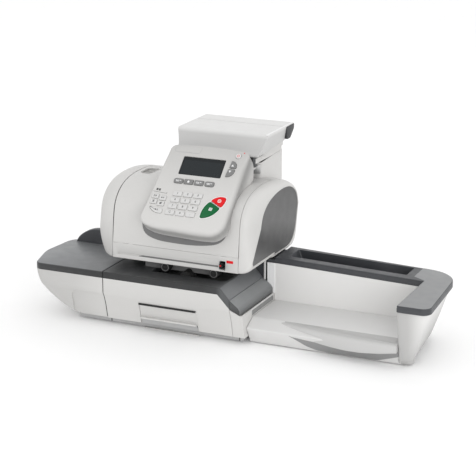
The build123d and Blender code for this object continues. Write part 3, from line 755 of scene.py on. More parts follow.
def make_cover():
    """The access cover: a bent shell with a scooped finger hold at its left."""
    low_y = 39.7
    outer = straight((low_y, COVER_LOW), HEAD_FULL[0], 7)[:-1]
    outer += [p for p in top_run(0, count=70) if p[0] <= COVER_REAR]
    ring = outer + run_moved(outer, WALL)[::-1]
    cover = prism("access_cover_shell", ring, along_x, SEAM, COVER_RIGHT - SEAM, LIGHT)
    cup = rounded([(3, 126), (34, 126), (35.5, COVER_REAR - 3), (2.4, COVER_REAR - 3)], 5)
    carve(cover, prism("cup", cup, along_z, 131, 149.4, LIGHT), "UNION")
    hold = rounded([(9, 132), (29, 132), (30.5, 172), (8, 172)], 7)
    rings = [[(x, y, height + 6.5 * (31 - x) / 22) for x, y in moved_in(hold, -grow)]
             for height, grow in ((134.4, -5.5), (135.2, -3), (138, -1), (145, 0.6), (160, 4))]
    carve(cover, lofted("scoop", rings, LIGHT))
    bevel(cover, 0.5, 2, 50)
    settle(cover, "cover", "light_casing", "top_cover")


make_left_cap()
make_right_cap()
make_cover()


# ---- control panel, in its own plane: u to the right, v up the slope, w out of its face
PANEL_X, PANEL_Y, PANEL_Z = 154.0, 12.0, 99.0
SLOPE = math.radians(45)
SKIRT = 28.0
KEY_PROUD = 1.6
PANEL_WALL = 2.6


def on_panel(u, v, w):
    return (PANEL_X + u, PANEL_Y + math.cos(SLOPE) * v - math.sin(SLOPE) * w,
            PANEL_Z + math.sin(SLOPE) * v + math.cos(SLOPE) * w)


def panel_outline():
    """The panel's outline, counter-clockwise from the top right corner."""
    low = curve_through([(-89.5, 3), (-68, -5.5), (-20, -10.5), (45, -12), (76, -9)], 25)
    left = curve_through([(-75, 162), (-79.5, 120), (-83.5, 60), (-89.5, 3)], 16)
    runs = [arc_through((77, 161), (0, 165), (-75, 162), 17), left, low, straight((76, -9), (77, 161), 15)]
    return joined(runs, (10, 10, 14, 26))


def pillow(outline, share):
    """The panel's outline drawn in by a share of its edge rounding, which is small along the top and left."""
    made = []
    for point, full in zip(outline, moved_in(outline, 1.0)):
        u, v = point
        edge = 9.0 - 6.4 * min(1.0, max(0.0, (v - 128) / 26))
        edge = min(edge, 4.5 + 4.5 * min(1.0, max(0.0, (u + 70) / 40)))
        made.append((point, full, edge))
    return [(p[0] + (f[0] - p[0]) * e * share, p[1] + (f[1] - p[1]) * e * share, e) for p, f, e in made]


def arc_outline(points, mids, ease=1.6):
    """A closed outline through corner points, with an arc wherever a mid point is given, corners eased."""
    runs = []
    for start, end, mid in zip(points, points[1:] + points[:1], mids):
        runs.append(arc_through(start, mid, end, 13) if mid else straight(start, end, 5))
    outline = joined(runs, [ease] * len(runs), 5)
    area = sum(a[0] * b[1] - b[0] * a[1] for a, b in zip(outline, outline[1:] + outline[:1]))
    return outline if area > 0 else outline[::-1]


NUMBER_KEYS = ["1", "2", "3", "4", "5", "6", "7", "8", "9", "clear", "0", "point"]
MENU_KEYS_U = (-38, -18.5, 1.5, 22)


def number_place(index):
    """The middle of a number key, counted row by row from the top left."""
    row, column = divmod(index, 3)
    return -31 + 19.8 * column - 0.8 * row, 62.5 - 12.8 * row


def key_outlines():
    """Every key's outline, as the CAD keys have it."""
    outlines = {}
    for index, name in enumerate(NUMBER_KEYS):
        outlines["key_" + name] = box_outline(*number_place(index), 16.5, 9, 1.2)
    for index, u in enumerate(MENU_KEYS_U):
        radius = 3.2 if index in (0, 3) else 1.2
        outlines["menu_key_%d" % (index + 1)] = box_outline(u, 88.5, 17.5, 9.5, radius)
    for index, (u, v) in enumerate(((-71.5, 53), (-56, 50.5), (-71.5, 42), (-56.5, 39))):
        outlines["shortcut_key_%d" % (index + 1)] = box_outline(u, v, 12.5, 8.5, 1.2)
    outlines["shortcut_key_5"] = arc_outline([(-76, 32), (-49, 28.5), (-49, 20.5)], [None, None, (-65, 22.5)])
    outlines["up_key"] = arc_outline([(48.5, 125.5), (49.5, 140), (60.5, 125.5)], [None, (58, 135.5), None])
    outlines["down_key"] = arc_outline([(47.5, 123), (59.5, 123), (46, 107)], [None, (57.5, 112.5), None])
    outlines["stop_key"] = arc_outline([(36, 56), (62, 64.5), (57.5, 45.5)],
                                       [(47.5, 64.5), (61.5, 54.5), None], 2.6)
    outlines["start_key"] = arc_outline([(34.5, 54), (56, 43.5), (25.5, 20.5)],
                                        [None, (44, 27), (26, 38)], 2.6)
    outlines["power_key"] = circle(58, 151, 5)
    return outlines


WINDOW = box_outline(-3.5, 121.5, 81.5, 37, 1.5)
OUTLINES = key_outlines()
HEAD_RUN = top_run(0, 0, 120)


def in_head(y, z):
    """Whether a point of the side view is inside the head."""
    if z < SHOULDER and y > 39 + 6.5 * (z - HEAD_UNDER) / (SHOULDER - HEAD_UNDER):
        return True
    return HEAD_RUN[0][0] < y < HEAD_RUN[-1][0] and z < read_off(y, HEAD_RUN)


def wall_foot(u, v):
    """How deep the panel's side wall runs below its face at a point of its outline."""
    depth = 6.0
    while depth < 80:
        _, y, z = on_panel(u, v, -depth)
        if in_head(y, z) or (depth >= SKIRT and v < 30) or y > 146:
            return depth + (1.0 if in_head(y, z) else 0.0)
        depth += 0.5
    return depth


class PanelMesh:
    """Gathers loops and faces in the panel's own frame."""

    def __init__(self):
        self.bm = bmesh.new()

    def loop(self, outline, w):
        depth = w if callable(w) else (lambda u, v: w)
        return [self.bm.verts.new(at(*on_panel(u, v, depth(u, v)))) for u, v in outline]

    def chain(self, loops, index=0, low=False, high=False):
        """Joins loops in turn and fills the first or the last one if asked."""
        for a, b in zip(loops, loops[1:]):
            for i in range(len(a)):
                j = (i + 1) % len(a)
                self.bm.faces.new((a[i], a[j], b[j], b[i])).material_index = index
        if high:
            self.bm.faces.new(loops[-1]).material_index = index
        if low:
            self.bm.faces.new(loops[0][::-1]).material_index = index
        return loops

    def stack(self, outline, levels, **ends):
        """Loops of an outline by levels of (inset, height), joined in turn."""
        return self.chain([self.loop(moved_in(outline, inset), w) for inset, w in levels], **ends)

    def fill(self, loops):
        """Fills a flat region inside the first loop and outside the others."""
        edges = []
        for loop in loops:
            for i in range(len(loop)):
                pair = (loop[i], loop[(i + 1) % len(loop)])
                edges.append(self.bm.edges.get(pair) or self.bm.edges.new(pair))
        bmesh.ops.triangle_fill(self.bm, use_beauty=True, use_dissolve=False, edges=edges)

    def plate(self, outline, low, high, index=0):
        """A thin closed plate over one outline."""
        self.chain([self.loop(outline, low), self.loop(outline, high)], index, low=True, high=True)

    def finish(self, name, materials, angle=40):
        return object_from(self.bm, name, materials, angle, weld=1e-6)


def make_panel_shell():
    """A soft-edged hollow shell with a hole for every key and for the window."""
    outline = panel_outline()
    body = PanelMesh()
    turns = 9
    rings = [body.loop([(u, v) for u, v, _ in pillow(outline, 1)], 0)]
    for k in range(1, turns + 1):
        angle = math.pi / 2 * k / turns
        rings.append([body.bm.verts.new(at(*on_panel(u, v, -edge * (1 - math.cos(angle)))))
                      for u, v, edge in pillow(outline, 1 - math.sin(angle))])
    for inset, share in ((0.2, 0.55), (0.6, 0.8), (1.5, 0.93), (2.6, 0.98), (4, 1), (4.4, 0.97), (3.6, 0.5)):
        rings.append(body.loop(moved_in(outline, inset), lambda u, v, s=share: -wall_foot(u, v) * s))
    rings.append(body.loop(moved_in(outline, 9.4), -PANEL_WALL))
    body.chain(rings)
    tops, lows = [rings[0]], [rings[-1]]
    for hole in list(OUTLINES.values()) + [WINDOW]:
        top, _, deep = body.stack(hole, ((-0.7, 0), (-0.4, -0.3), (-0.4, -PANEL_WALL)))
        tops.append(top)
        lows.append(deep)
    body.fill(tops)
    body.fill(lows)
    front = [(u, v) for u, v in moved_in(outline, 2.6) if v < 27]
    body.plate(front, -SKIRT + 0.6, -SKIRT + 2.6)
    shell = body.finish("panel_shell_skin", [SHELL])
    weigh(shell)
    settle(shell, "cover", "light_casing", "panel_shell")


# ---- legends and icons: each is a list of small outlines in millimetres about its middle
def ring_segments(radius, thick, start=0.0, turn=math.tau, count=14):
    """A ring or part of one as short four-cornered pieces."""
    pieces = []
    for k in range(count):
        a, b = start + turn * k / count, start + turn * (k + 1) / count
        pieces.append([circle_point((0, 0), r, t)
                       for r, t in ((radius - thick, a), (radius, a), (radius, b), (radius - thick, b))])
    return pieces


def glyph(text, height):
    """The filled outlines of a figure, as triangles and polygons about its middle."""
    data = bpy.data.curves.new("glyph", "FONT")
    data.body = text
    data.size = height * 1.38
    data.offset = 0.09
    data.align_x = "CENTER"
    data.resolution_u = 4
    holder = linked("glyph", data)
    bpy.context.view_layer.update()
    mesh = bpy.data.meshes.new_from_object(holder.evaluated_get(bpy.context.evaluated_depsgraph_get()))
    shapes = [[(mesh.vertices[i].co.x, mesh.vertices[i].co.y - height / 2) for i in face.vertices]
              for face in mesh.polygons]
    bpy.data.objects.remove(holder)
    bpy.data.curves.remove(data)
    bpy.data.meshes.remove(mesh)
    return shapes


def bars(*boxes):
    """Upright boxes, each given by its middle, width and height."""
    return [box_outline(*box) for box in boxes]


ENVELOPE = bars((0, 1.3, 5, 0.5), (0, -1.3, 5, 0.5), (-2.4, 0, 0.5, 3), (2.4, 0, 0.5, 3))
ENVELOPE += [[(-2.2, 1.2), (0, -0.4), (2.2, 1.2), (2.2, 0.6), (0, -1.0), (-2.2, 0.6)]]
HOUSE = bars((0, -1.1, 3.6, 2.3)) + [[(-2.6, 0), (2.6, 0), (0, 2.4)]]
WORDS = bars((-4.2, 0.6, 2.4, 1.2), (-0.8, 0.6, 3.0, 1.2), (3.6, 0.6, 3.4, 1.2), (-1.6, -1.3, 6.0, 1.0))
SCALES = bars((0, 1.4, 4.4, 0.9), (0, 0.2, 0.9, 1.6))
SCALES += [[(-2.2, -1.8), (2.2, -1.8), (1.2, -0.4), (-1.2, -0.4)]]
STAMP = bars((-1.8, 0, 2.2, 2.6), (1.8, 1, 2.6, 0.5), (1.8, 0, 2.6, 0.5), (1.8, -1, 2.6, 0.5))
PARCEL = bars((0, -0.3, 4, 2.6)) + [[(-2, 1.4), (0.4, 2.4), (2.6, 1.6), (2.0, 1.2)]]
TRIANGLE_UP = [[(-2.6, -1.6), (2.6, -1.6), (0, 2.6)]]
TRIANGLE_DOWN = [[(-2.6, 1.6), (0, -2.6), (2.6, 1.6)]]
STOP_MARK = ring_segments(3.4, 1.2, count=20) + [[(-1.1, 0), (0, -1.1), (1.1, 0), (0, 1.1)]]
POWER_MARK = ring_segments(2.6, 0.7, math.radians(125), math.radians(290), 12) + bars((0, 1.7, 0.7, 2.4))


def start_mark():
    """A tilted square of fine lines."""
    lines = bars(*[(0, 2.6 - 1.3 * k, 5.4, 0.75) for k in range(5)], (-2.7, 0, 0.7, 5.9), (2.7, 0, 0.7, 5.9))
    turn = math.radians(-8)
    return [[(u * math.cos(turn) - v * math.sin(turn), u * math.sin(turn) + v * math.cos(turn))
             for u, v in line] for line in lines]


def key_marks():
    """For each key: its mark, the middle of the mark and the ink."""
    marks = {}
    for index, name in enumerate(NUMBER_KEYS):
        u, v = number_place(index)
        marks["key_" + name] = (glyph({"clear": "C", "point": "."}.get(name, name), 4.0), (u, v + 0.7), INK)
    for index, (u, shape) in enumerate(zip(MENU_KEYS_U, (WORDS, HOUSE, WORDS, WORDS))):
        marks["menu_key_%d" % (index + 1)] = (shape, (u, 88.6), PALE_INK)
    icons = (ENVELOPE, STAMP, SCALES, PARCEL, STAMP)
    for index, (u, v) in enumerate(((-71.5, 53.4), (-56, 51), (-71.5, 42.4), (-56.5, 39.4), (-60, 26.2))):
        marks["shortcut_key_%d" % (index + 1)] = (icons[index], (u, v), INK)
    marks["up_key"] = (TRIANGLE_UP, (53.6, 130), PALE_INK)
    marks["down_key"] = (TRIANGLE_DOWN, (52, 118), PALE_INK)
    marks["stop_key"] = (STOP_MARK, (52, 57), PALE_INK)
    marks["start_key"] = (start_mark(), (40.5, 39), PALE_INK)
    marks["power_key"] = (POWER_MARK, (58, 151), LAMP)
    return marks


def make_key(name, outline, mark, middle, ink):
    """A key cap with a rounded rim and a slight crown, and its printed mark."""
    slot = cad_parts[name].data.materials[0].name
    cap = PanelMesh()
    edge = 0.55
    levels = [(edge * inset, KEY_PROUD - edge * drop)
              for inset, drop in ((0, 1), (0.08, 0.62), (0.3, 0.3), (0.62, 0.08), (1, 0))]
    cap.stack(outline, [(0, -5.4)] + levels + [(edge + 0.8, KEY_PROUD + 0.03)], low=True, high=True)
    for shape in mark:
        moved = [(middle[0] + u, middle[1] + v) for u, v in shape]
        cap.plate(moved, KEY_PROUD - 0.2, KEY_PROUD + 0.09, 1)
    made = cap.finish(name + "_cap", [FINISH_OF_SLOT[slot], ink], 50)
    weigh(made)
    settle(made, name, slot, name)


def make_keys():
    marks = key_marks()
    for name, outline in OUTLINES.items():
        make_key(name, outline, *marks[name])


def inlay(name, finish, outlines, levels, angle=40, **ends):
    """A small piece on the panel's face, from outlines and levels of (inset, height)."""
    piece = PanelMesh()
    for outline in outlines:
        piece.stack(outline, levels, **ends)
    settle(piece.finish(name, [finish], angle), "cover", "light_casing")


def make_panel_prints():
    """What is printed or set into the panel's face: key borders, underlined marks, badge and lamp."""
    inlay("key_borders", PALE_INK, [OUTLINES["stop_key"], OUTLINES["start_key"]],
          ((-0.75, 0.02), (-0.75, 0.22), (-2.0, 0.22), (-2.0, 0.0)), 50)
    marks = bars((-72.6, 67.4, 3.6, 4.2), (-67.8, 67.0, 3.6, 4.2))
    marks += [[(-79, 62.5), (-52, 60.6), (-52, 61.2), (-79, 63.1)],
              rect(-52.8, 61.2, -52, 63)]
    inlay("printed_marks", INK, marks, ((0, -0.1), (0, 0.07)), 50, low=True, high=True)
    badge = rounded([(-15, 160), (-64.5, 160.5), (-66, 148.5), (-17.5, 148)], 2.6, 5)
    inlay("blank_badge", SHELL, [badge], ((0, -0.2), (0, 0.35), (0.25, 0.55), (0.7, 0.6)), high=True)
    # A grey ring round the badge paints the shade along its edges.
    inlay("badge_edge_shade", PLINTH, [badge], ((0, 0.02), (0, 0.2), (-0.5, 0.2), (-0.6, 0.0)), 50)
    lamp = PanelMesh()
    lamp.chain([lamp.loop(circle(67, 158.5, radius, 20), w)
                for radius, w in ((1.2, -0.6), (1.2, 0.2), (1.0, 0.4), (0.5, 0.55))], high=True)
    settle(lamp.finish("power_lamp", [LAMP], 40), "cover", "key_red")


def make_window():
    """The clear window, sunk a little, over the dark display and its paler cell area."""
    pane = PanelMesh()
    levels = ((-1.4, -4.6), (-1.4, -2.7), (0.1, -2.6), (0.1, -1.15), (0.35, -0.95))
    pane.stack(WINDOW, levels, low=True, high=True)
    settle(pane.finish("display_pane", [SCREEN], 30), "cover", "display_glass", "display_window")
    cells = PanelMesh()
    cells.plate(box_outline(-3.5, 119, 77, 29, 0.8), -1.0, -0.9)
    settle(cells.finish("display_cells", [CELLS], 30), "cover", "display_glass")


def make_collar():
    """A grey collar under the panel's skirt, lying on the front of the head; its dark grey is partly painted
    shade from the skirt's overhang.
    """
    knots = [(57.5, 92), (62.5, 71), (82, 60.6), (115, 57.2), (157, 57.2), (188, 60.4), (208, 66.2),
             (219, 76), (225, 92)]
    columns = []
    for x, low in curve_through(knots, 40):
        heights = [low + (100 - low) * k / 5 for k in range(6)]
        run = [(x, head_front_y(z) - (0.8 if z == low else 1.3), z) for z in heights]
        columns.append(run + [(x, head_front_y(z) + 0.6, z) for z in heights[::-1]])
    collar = lofted("panel_collar_and_shade", columns, GREY_AND_SHADE, smooth=40)
    settle(collar, "cover", "plinth_grey", "panel_collar")


def head_front_y(z):
    """How far forward the head's front face stands at a height."""
    if z > SHOULDER:
        return read_off(z, [(height, y) for y, height in HEAD_RUN[:14]])
    return 39.7 + 5.8 * (z - COVER_LOW) / (SHOULDER - COVER_LOW)


make_panel_shell()
make_collar()
make_keys()
make_panel_prints()
make_window()


# ---- weighing platform
PLATTER_LEFT, PLATTER_RIGHT = 62.0, 241.0
PLATTER_TOP, PLATTER_LIP = 233.2, 198.0


def platter_x(side, z):
    """The platform's left (0) or right (1) side at a height: both lean inwards downwards."""
    lean = max(0.0, PLATTER_TOP - 1 - z) / 32
    return PLATTER_LEFT + 14 * lean if side == 0 else PLATTER_RIGHT - 6 * lean


def make_platter():
    """The plate with its long curved nose, a rail along its right side and two dark end caps."""
    top = PLATTER_TOP
    nose = curve_through([(188, top), (183.6, top - 0.5), (180.6, top - 2.6), (176, 224.6), (169, 215.4),
                          (161.5, 207.4), (154, 203.6), (149.2, 201.6), (148.8, 199.4),
                          (152.5, PLATTER_LIP)], 40)
    rear = [(254, 204), (263, 204.6), (279, 208.4), (299, 222), (302.6, 230), (302.8, 231.6), (301.2, top)]
    groove = [(262.4, top), (261.6, top - 0.9), (258.2, top - 0.9), (257.0, top)]
    ring = nose + rear + [(280, top)] + groove + [(220, top)]
    rings = [[(platter_x(side, z), y, z) for y, z in ring] for side in (0, 1)]
    platter = lofted("platform_plate", rings, WHITE, smooth=30)
    bevel(platter, 1.1, 3, 50)
    settle(platter, "platter", "platter_light", "scale_platter")
    rail = rect(237.2, 180, 240.2, 299, 1.2, 3)
    rings = layers(rail, ((0, 232.6), (0, 233.6), (0.3, 233.9), (0.8, 234)), along_z)
    settle(lofted("platform_rail", rings, PALE_INK, smooth=50), "platter", "platter_light")
    corners = [(268, 207.6), (284, 207.6), (301, 222), (302.6, 231.5), (266, 231.5)]
    shape = rounded(corners, (4, 5, 5, 2, 2), 4)
    for name, inner, outer in (("right", platter_x(1, 226) - 3, PLATTER_RIGHT + 0.9),
                               ("left", platter_x(0, 226) + 3, PLATTER_LEFT - 0.9)):
        step = math.copysign(0.6, outer - inner)
        levels = ((0, inner), (0, outer - step), (0.25, outer - step * 0.4), (0.8, outer))
        cap = lofted("platform_end_" + name, layers(shape, levels, along_x), NIGHT, smooth=40)
        settle(cap, "platter", "dark_deck")


make_platter()

# ---- strip under the cover, with its slot, the jam lever and a red mark
def make_guard_strip():
    """The front strip under the cover: a long slot, an opening for the lever and a bright lower lip."""
    low, high, end = HEAD_UNDER + 0.2, COVER_LOW - 0.3, COVER_RIGHT - 0.4
    front = rect(0.4, low, end, high)
    slot = rounded([(10.5, 24.2), (209, 24.2), (209, 27.2), (11.2, 27.2)], 0.9, 3)
    bay = rect(211, 19.4, 222.4, 36.4, 1.2, 3)
    strip = PanelMesh()
    fronts, backs = [], []
    for outline, inward in ((front, 0.1), (slot, -0.3), (bay, -0.3)):
        rings = layers(outline, ((inward, 0.0), (0, 0.2), (0, 0.5)), on_strip)
        loops = strip.chain([[strip.bm.verts.new(at(*point)) for point in ring] for ring in rings])
        fronts.append(loops[0])
        backs.append(loops[-1])
    strip.fill(fronts)
    strip.fill(backs)
    settle(strip.finish("guard_strip", [LIGHT], 40), "chassis", "light_casing")
    # Painted shadow: a dark grey plate inside the slot.
    floor = rounded([(50, 24.3), (208.8, 24.3), (208.8, 27.1), (62, 27.1)], 0.3, 2)
    settle(prism("slot_shadow_plate", floor, on_strip, 0.7, 1.3, GREY_AND_SHADE), "chassis", "plinth_grey")
    dash = rounded([(224.6, 33.6), (237.4, 33.7), (237.4, 38.4), (224.6, 38.8)], 0.5, 3)
    rings = layers(dash, ((0, 0.4), (0, -0.12), (0.2, -0.18)), on_strip)
    settle(lofted("red_mark", rings, RED, smooth=50), "chassis", "key_red")


def on_strip(x, z, back):
    """A point a little behind the strip's face, which leans back as it rises."""
    return (x, 38.45 + 0.75 * (z - HEAD_UNDER) / 28 + back, z)


def make_lever():
    """The jam lever: a dark finger tab with a red spot."""
    side = [(38, 25), (33.6, 24.2), (31.4, 26.6), (32.4, 31.6), (36, 33.4), (44.5, 32.2), (44.5, 25.6)]
    levels = ((0.8, 213.9), (0.2, 214.3), (0, 215), (0, 217.6), (0.2, 218.2), (0.8, 218.6))
    tab = lofted("lever_tab", layers(rounded(side, 1.1, 4), levels, along_x), BLACK, smooth=50)
    settle(tab, "lever", "black_plastic")
    spot = circle(216.3, 29.6, 1.5, 20)
    rings = layers(spot, ((0, 33), (0, 31.5), (0.3, 31.2)), along_y)
    settle(lofted("lever_spot", rings, RED, smooth=50), "lever", "key_red")


# ---- exit tray
BAND_FOOT, CASING_FOOT, PLINTH_FOOT = -12.0, -91.0, -102.0
FRONT_PROFILE = [(CASING_FOOT, 15.5), (-62.8, 9.3), (-46.6, 3.4), (-40, 0), (BAND_FOOT, 0)]


def front_y(z):
    """Where the front face of the casings stands at a height, its creases eased."""
    return float(np.mean([read_off(z + step, FRONT_PROFILE) for step in (-1.6, -0.8, 0, 0.8, 1.6)]))


EXIT_END = -1.5


def exit_plan(drop, inset=0.0, steps=12):
    """Plan outline of the exit tray at a share of the casing's height below the deck band."""
    z = BAND_FOOT + (CASING_FOOT - BAND_FOOT) * drop
    run_in = 85 * (1 - (1 - drop ** 1.7) ** (1 / 1.7))
    left, front, rear, right = -146 + run_in, front_y(z), 170.0, EXIT_END
    corners = [(right, rear), (left - 6, rear), (left - 14, front + 72), (left + 7, front), (right, front)]
    return moved_in(rounded(corners, (0, 34, 90, 16, 0), steps), inset), z


def make_exit():
    drops = [0, 0.04, 0.1, 0.18, 0.26, 0.34, 0.42, 0.5, 0.58, 0.66, 0.73, 0.79, 0.85, 0.9, 0.94, 0.97, 0.99,
             1.0]
    lining, z = exit_plan(0, 2.6)
    rings = [placed(lining, along_z, -16.0), placed(lining, along_z, z)]
    rings += [placed(plan, along_z, z) for plan, z in map(exit_plan, drops)]
    casing = lofted("exit_shell", rings, EXIT)
    pocket = []
    for z in (-96, -91, -84, -77, -70, -64, -60, -56, -53, -50.5, -48.6, -47, -45.6, -44.4, -43.5, -43.05,
              -42.9):
        rise = max(0.0, z + 57.9)
        left = -69 + 15 - math.sqrt(max(0.0, 15 ** 2 - rise ** 2))
        deep = front_y(max(z, CASING_FOOT)) + 1.8
        pocket.append(placed(rect(left, -6, 6, deep), along_z, z))
    carve(casing, lofted("pocket", pocket, LIGHT))
    bevel(casing, 1.1, 3, 35)
    settle(casing, "chassis", "light_casing", "exit_casing")
    band = ((0.9, -12.6), (0.9, -12.0), (0.25, -11.95), (0, -11.6), (0, -2.4), (0.25, -1.25), (0.95, -0.35),
            (2.2, 0))
    top = lofted("exit_top", layers(exit_plan(0)[0], band, along_z), EXIT_TOP, smooth=50)
    settle(top, "chassis", "dark_deck", "exit_deck")
    dark = [(0.9, -1.2), (0.9, -12)] + [(front_y(z) + 1.0, z) for z in range(-14, -91, -3)]
    dark += [(168, -90), (168, -1.2)]
    settle(prism("exit_seam", dark, along_x, EXIT_END - 0.2, -0.05, BLACK), "chassis", "black_plastic")


# ---- feeder
FEEDER_LEFT, FEEDER_INNER, FEEDER_RIGHT, FEEDER_REAR = 270.6, 548.0, 606.0, 222.0
TONGUE_RIGHT = FEEDER_INNER - 0.5
RIM_TOP = 20.0


def rim_z(x):
    """Height of the feeder's rim, which slopes gently to the right."""
    return read_off(x, [(FEEDER_LEFT, RIM_TOP), (FEEDER_INNER, 12.0)])


def under_rim(x, y, below):
    """A point at a depth below the rim's slope."""
    return (x, y, rim_z(x) - below)


def feeder_plan(drop, inset=0.0):
    """Plan outline of the feeder's wall and arm at a share of the height down from the rim."""
    run_in = 35 * max(0.0, drop) ** 1.15
    right, front, rear, wall = FEEDER_RIGHT - run_in, 3 + 0.6 * run_in, FEEDER_REAR - 0.5 * run_in, 147.4
    corners = [(FEEDER_LEFT, wall), (FEEDER_INNER, wall), (FEEDER_INNER, front),
               (right, front), (right - 14 - 2 * drop, rear - 6), (FEEDER_LEFT, rear)]
    plan = rounded(corners, (0, 0, 3.5, 16, 60 - 30 * max(0.0, drop), 0), 10)
    return moved_in(plan, inset)


def make_feeder_casing():
    rings = [placed(feeder_plan(0.36, 3.0), along_z, -20.0)]
    rings += [placed(feeder_plan(0.17, inset), under_rim, below)
              for inset, below in ((2.4, 11.6), (0.5, 11.2), (0.15, 11.6), (0, 12.4))]
    for z in (-7, -14, -22, -31, -40, -49, -57, -64, -70, -75.5, -80, -83.5, -86.5, -88.8, -90.4, -91):
        rings.append(placed(feeder_plan((RIM_TOP - z) / (RIM_TOP - CASING_FOOT)), along_z, z))
    casing = lofted("feeder_shell", rings, FEEDER, smooth=40)
    settle(casing, "chassis", "light_casing", "feeder_casing")


def make_feeder_rim():
    """The dark rim along the wall, with its open trough, and the paler cap over the arm."""
    levels = ((3, 12.4), (1.0, 11.2), (0.3, 11.15), (0, 10.7), (0, 4.2), (0.5, 3.7), (0.5, 2.6), (0.1, 2.1),
              (0.3, 0.8), (1.0, 0.2), (2.0, 0.0))
    rings = [placed(feeder_plan(0, inset), under_rim, below) for inset, below in levels]
    rim = lofted("feeder_rim", rings, DARK, smooth=40)
    tub = rect(286, 163, 526, 213, 3, 4)
    carve(rim, prism("tub", tub, under_rim, 27, 1, DARK), "UNION")
    room = []
    for share in (0, 0.12, 0.3, 0.5, 0.75, 1.0):
        left, right = 289 + 13 * (1 - share) ** 1.4, 523.5 - 23.5 * (1 - share) ** 0.8
        low, high = 165.5 + 1.6 * (1 - share), 210.5 - 1.6 * (1 - share)
        plan = rect(left, low, right, high, 3, 5)
        room.append(placed(plan, along_z, -5.5 + 32 * share))
    carve(rim, lofted("room", room, DARK))
    bevel(rim, 0.45, 2, 40)
    settle(rim, "chassis", "dark_deck", "feeder_trim")
    corners = [(549.6, 149.5), (549.6, 4.6), (FEEDER_RIGHT - 1.6, 4.6), (FEEDER_RIGHT - 15.6, 214.4),
               (526, 216), (526, 164)]
    plan = rounded(corners, (0, 2, 14.4, 58.4, 0, 0), 12)
    rings = layers(plan, ((0, 0.6), (0, -0.05), (0.25, -0.28), (0.8, -0.36)), under_rim)
    settle(lofted("arm_cap", rings, ARM_CAP, smooth=50), "chassis", "dark_deck")


def make_tray():
    """The feeder's floor with its curved front apron."""
    left, right = FEEDER_LEFT + 0.4, TONGUE_RIGHT
    nose = [(147, -60), (80, -60), (52, -60), (47.6, -60.3), (44.8, -61.6), (41.0, -64.0), (24.4, -71.2),
            (21.6, -72.8), (20.9, -74.6), (22.4, -77.4), (30, -90), (37.4, -102.6), (39, -103), (42.6, -96),
            (43, -89), (147, -89)]
    tray = prism("feeder_floor", nose, along_x, left, right, TRAY)
    shade(tray, 28)
    bevel(tray, 0.6, 2, 50)
    settle(tray, "chassis", "tray_light", "feeder_tray")


def make_tongue():
    """The D shaped tongue on the feeder's floor: its rear edge stays straight as its rim draws in."""
    right, back = TONGUE_RIGHT, 60.0
    plan = arc_through((317, 45), (430, 18.4), (right, 13.4), 40) + [(right, back), (322, back)]
    rings = []
    for inset, place, depth in ((2.6, over_foot, -0.6), (0.6, over_foot, -0.3), (0, over_foot, 0.8),
                                (0, along_z, -65), (0.5, along_z, -63.4), (1.7, along_z, -62.4),
                                (5.5, along_z, -61.3), (6.2, along_z, -60.8), (7.4, along_z, -60.4),
                                (8.5, along_z, -60.3)):
        drawn = moved_in(plan, inset)
        held = [(x, back if was == back else y) for (x, y), (_, was) in zip(drawn, plan)]
        rings.append(placed(held, place, depth))
    settle(lofted("tray_tongue", rings, TONGUE, smooth=50), "chassis", "tray_light")


def make_tongue_underside():
    """A grey skin painting the shade under the tongue's rim, between the rim and the foot of the apron."""
    columns = []
    for k in range(41):
        x = 350 + (TONGUE_RIGHT - 350) * k / 40
        low = read_off(x, [(350, -76.4), (366, -86), (378, -94), (396, -100), (420, -102.2), (505, -101.8),
                           (530, -93), (548, -86)])
        high = max(rim_foot(x) - 0.4, low + 0.3)
        run = [high + (low - high) * step / 8 for step in range(9)]
        columns.append([(x, apron_y(z) - 0.35, z) for z in run] + [(x, apron_y(z) + 1, z) for z in run[::-1]])
    settle(lofted("tongue_underside", columns, SHADE_GREY, smooth=50), "chassis", "plinth_grey")


def make_arm_foot():
    sections = []
    for x, back in ((545, 0), (555, 0), (559, 0.5), (562.6, 1.8), (565, 4), (566.4, 7.4), (566.8, 11)):
        front = [(x, apron_y(z) + back, z) for z in (-88, -92, -96, -100)]
        sections.append(front + [(x, apron_y(-102) + back + 1.5, -102.4), (x, 54, -102.4), (x, 54, -88)])
    settle(lofted("arm_foot", sections, FEEDER, smooth=50), "chassis", "light_casing")


def rim_foot(x):
    """How low the tongue's rounded rim reaches."""
    return read_off(x, [(350, -77), (380, -80.2), (411, -82.7), (429, -83.8), (455, -84.6), (483, -83.7),
                        (518, -79.9), (542, -75.8), (548, -75)])


def over_foot(x, y, above):
    return (x, y, rim_foot(x) + above)


def apron_y(z):
    """Where the tray's front apron stands at a height."""
    return read_off(z, [(-102.6, 37.4), (-90, 30), (-77.4, 22.4), (-74.6, 20.9), (-72.8, 21.6)])


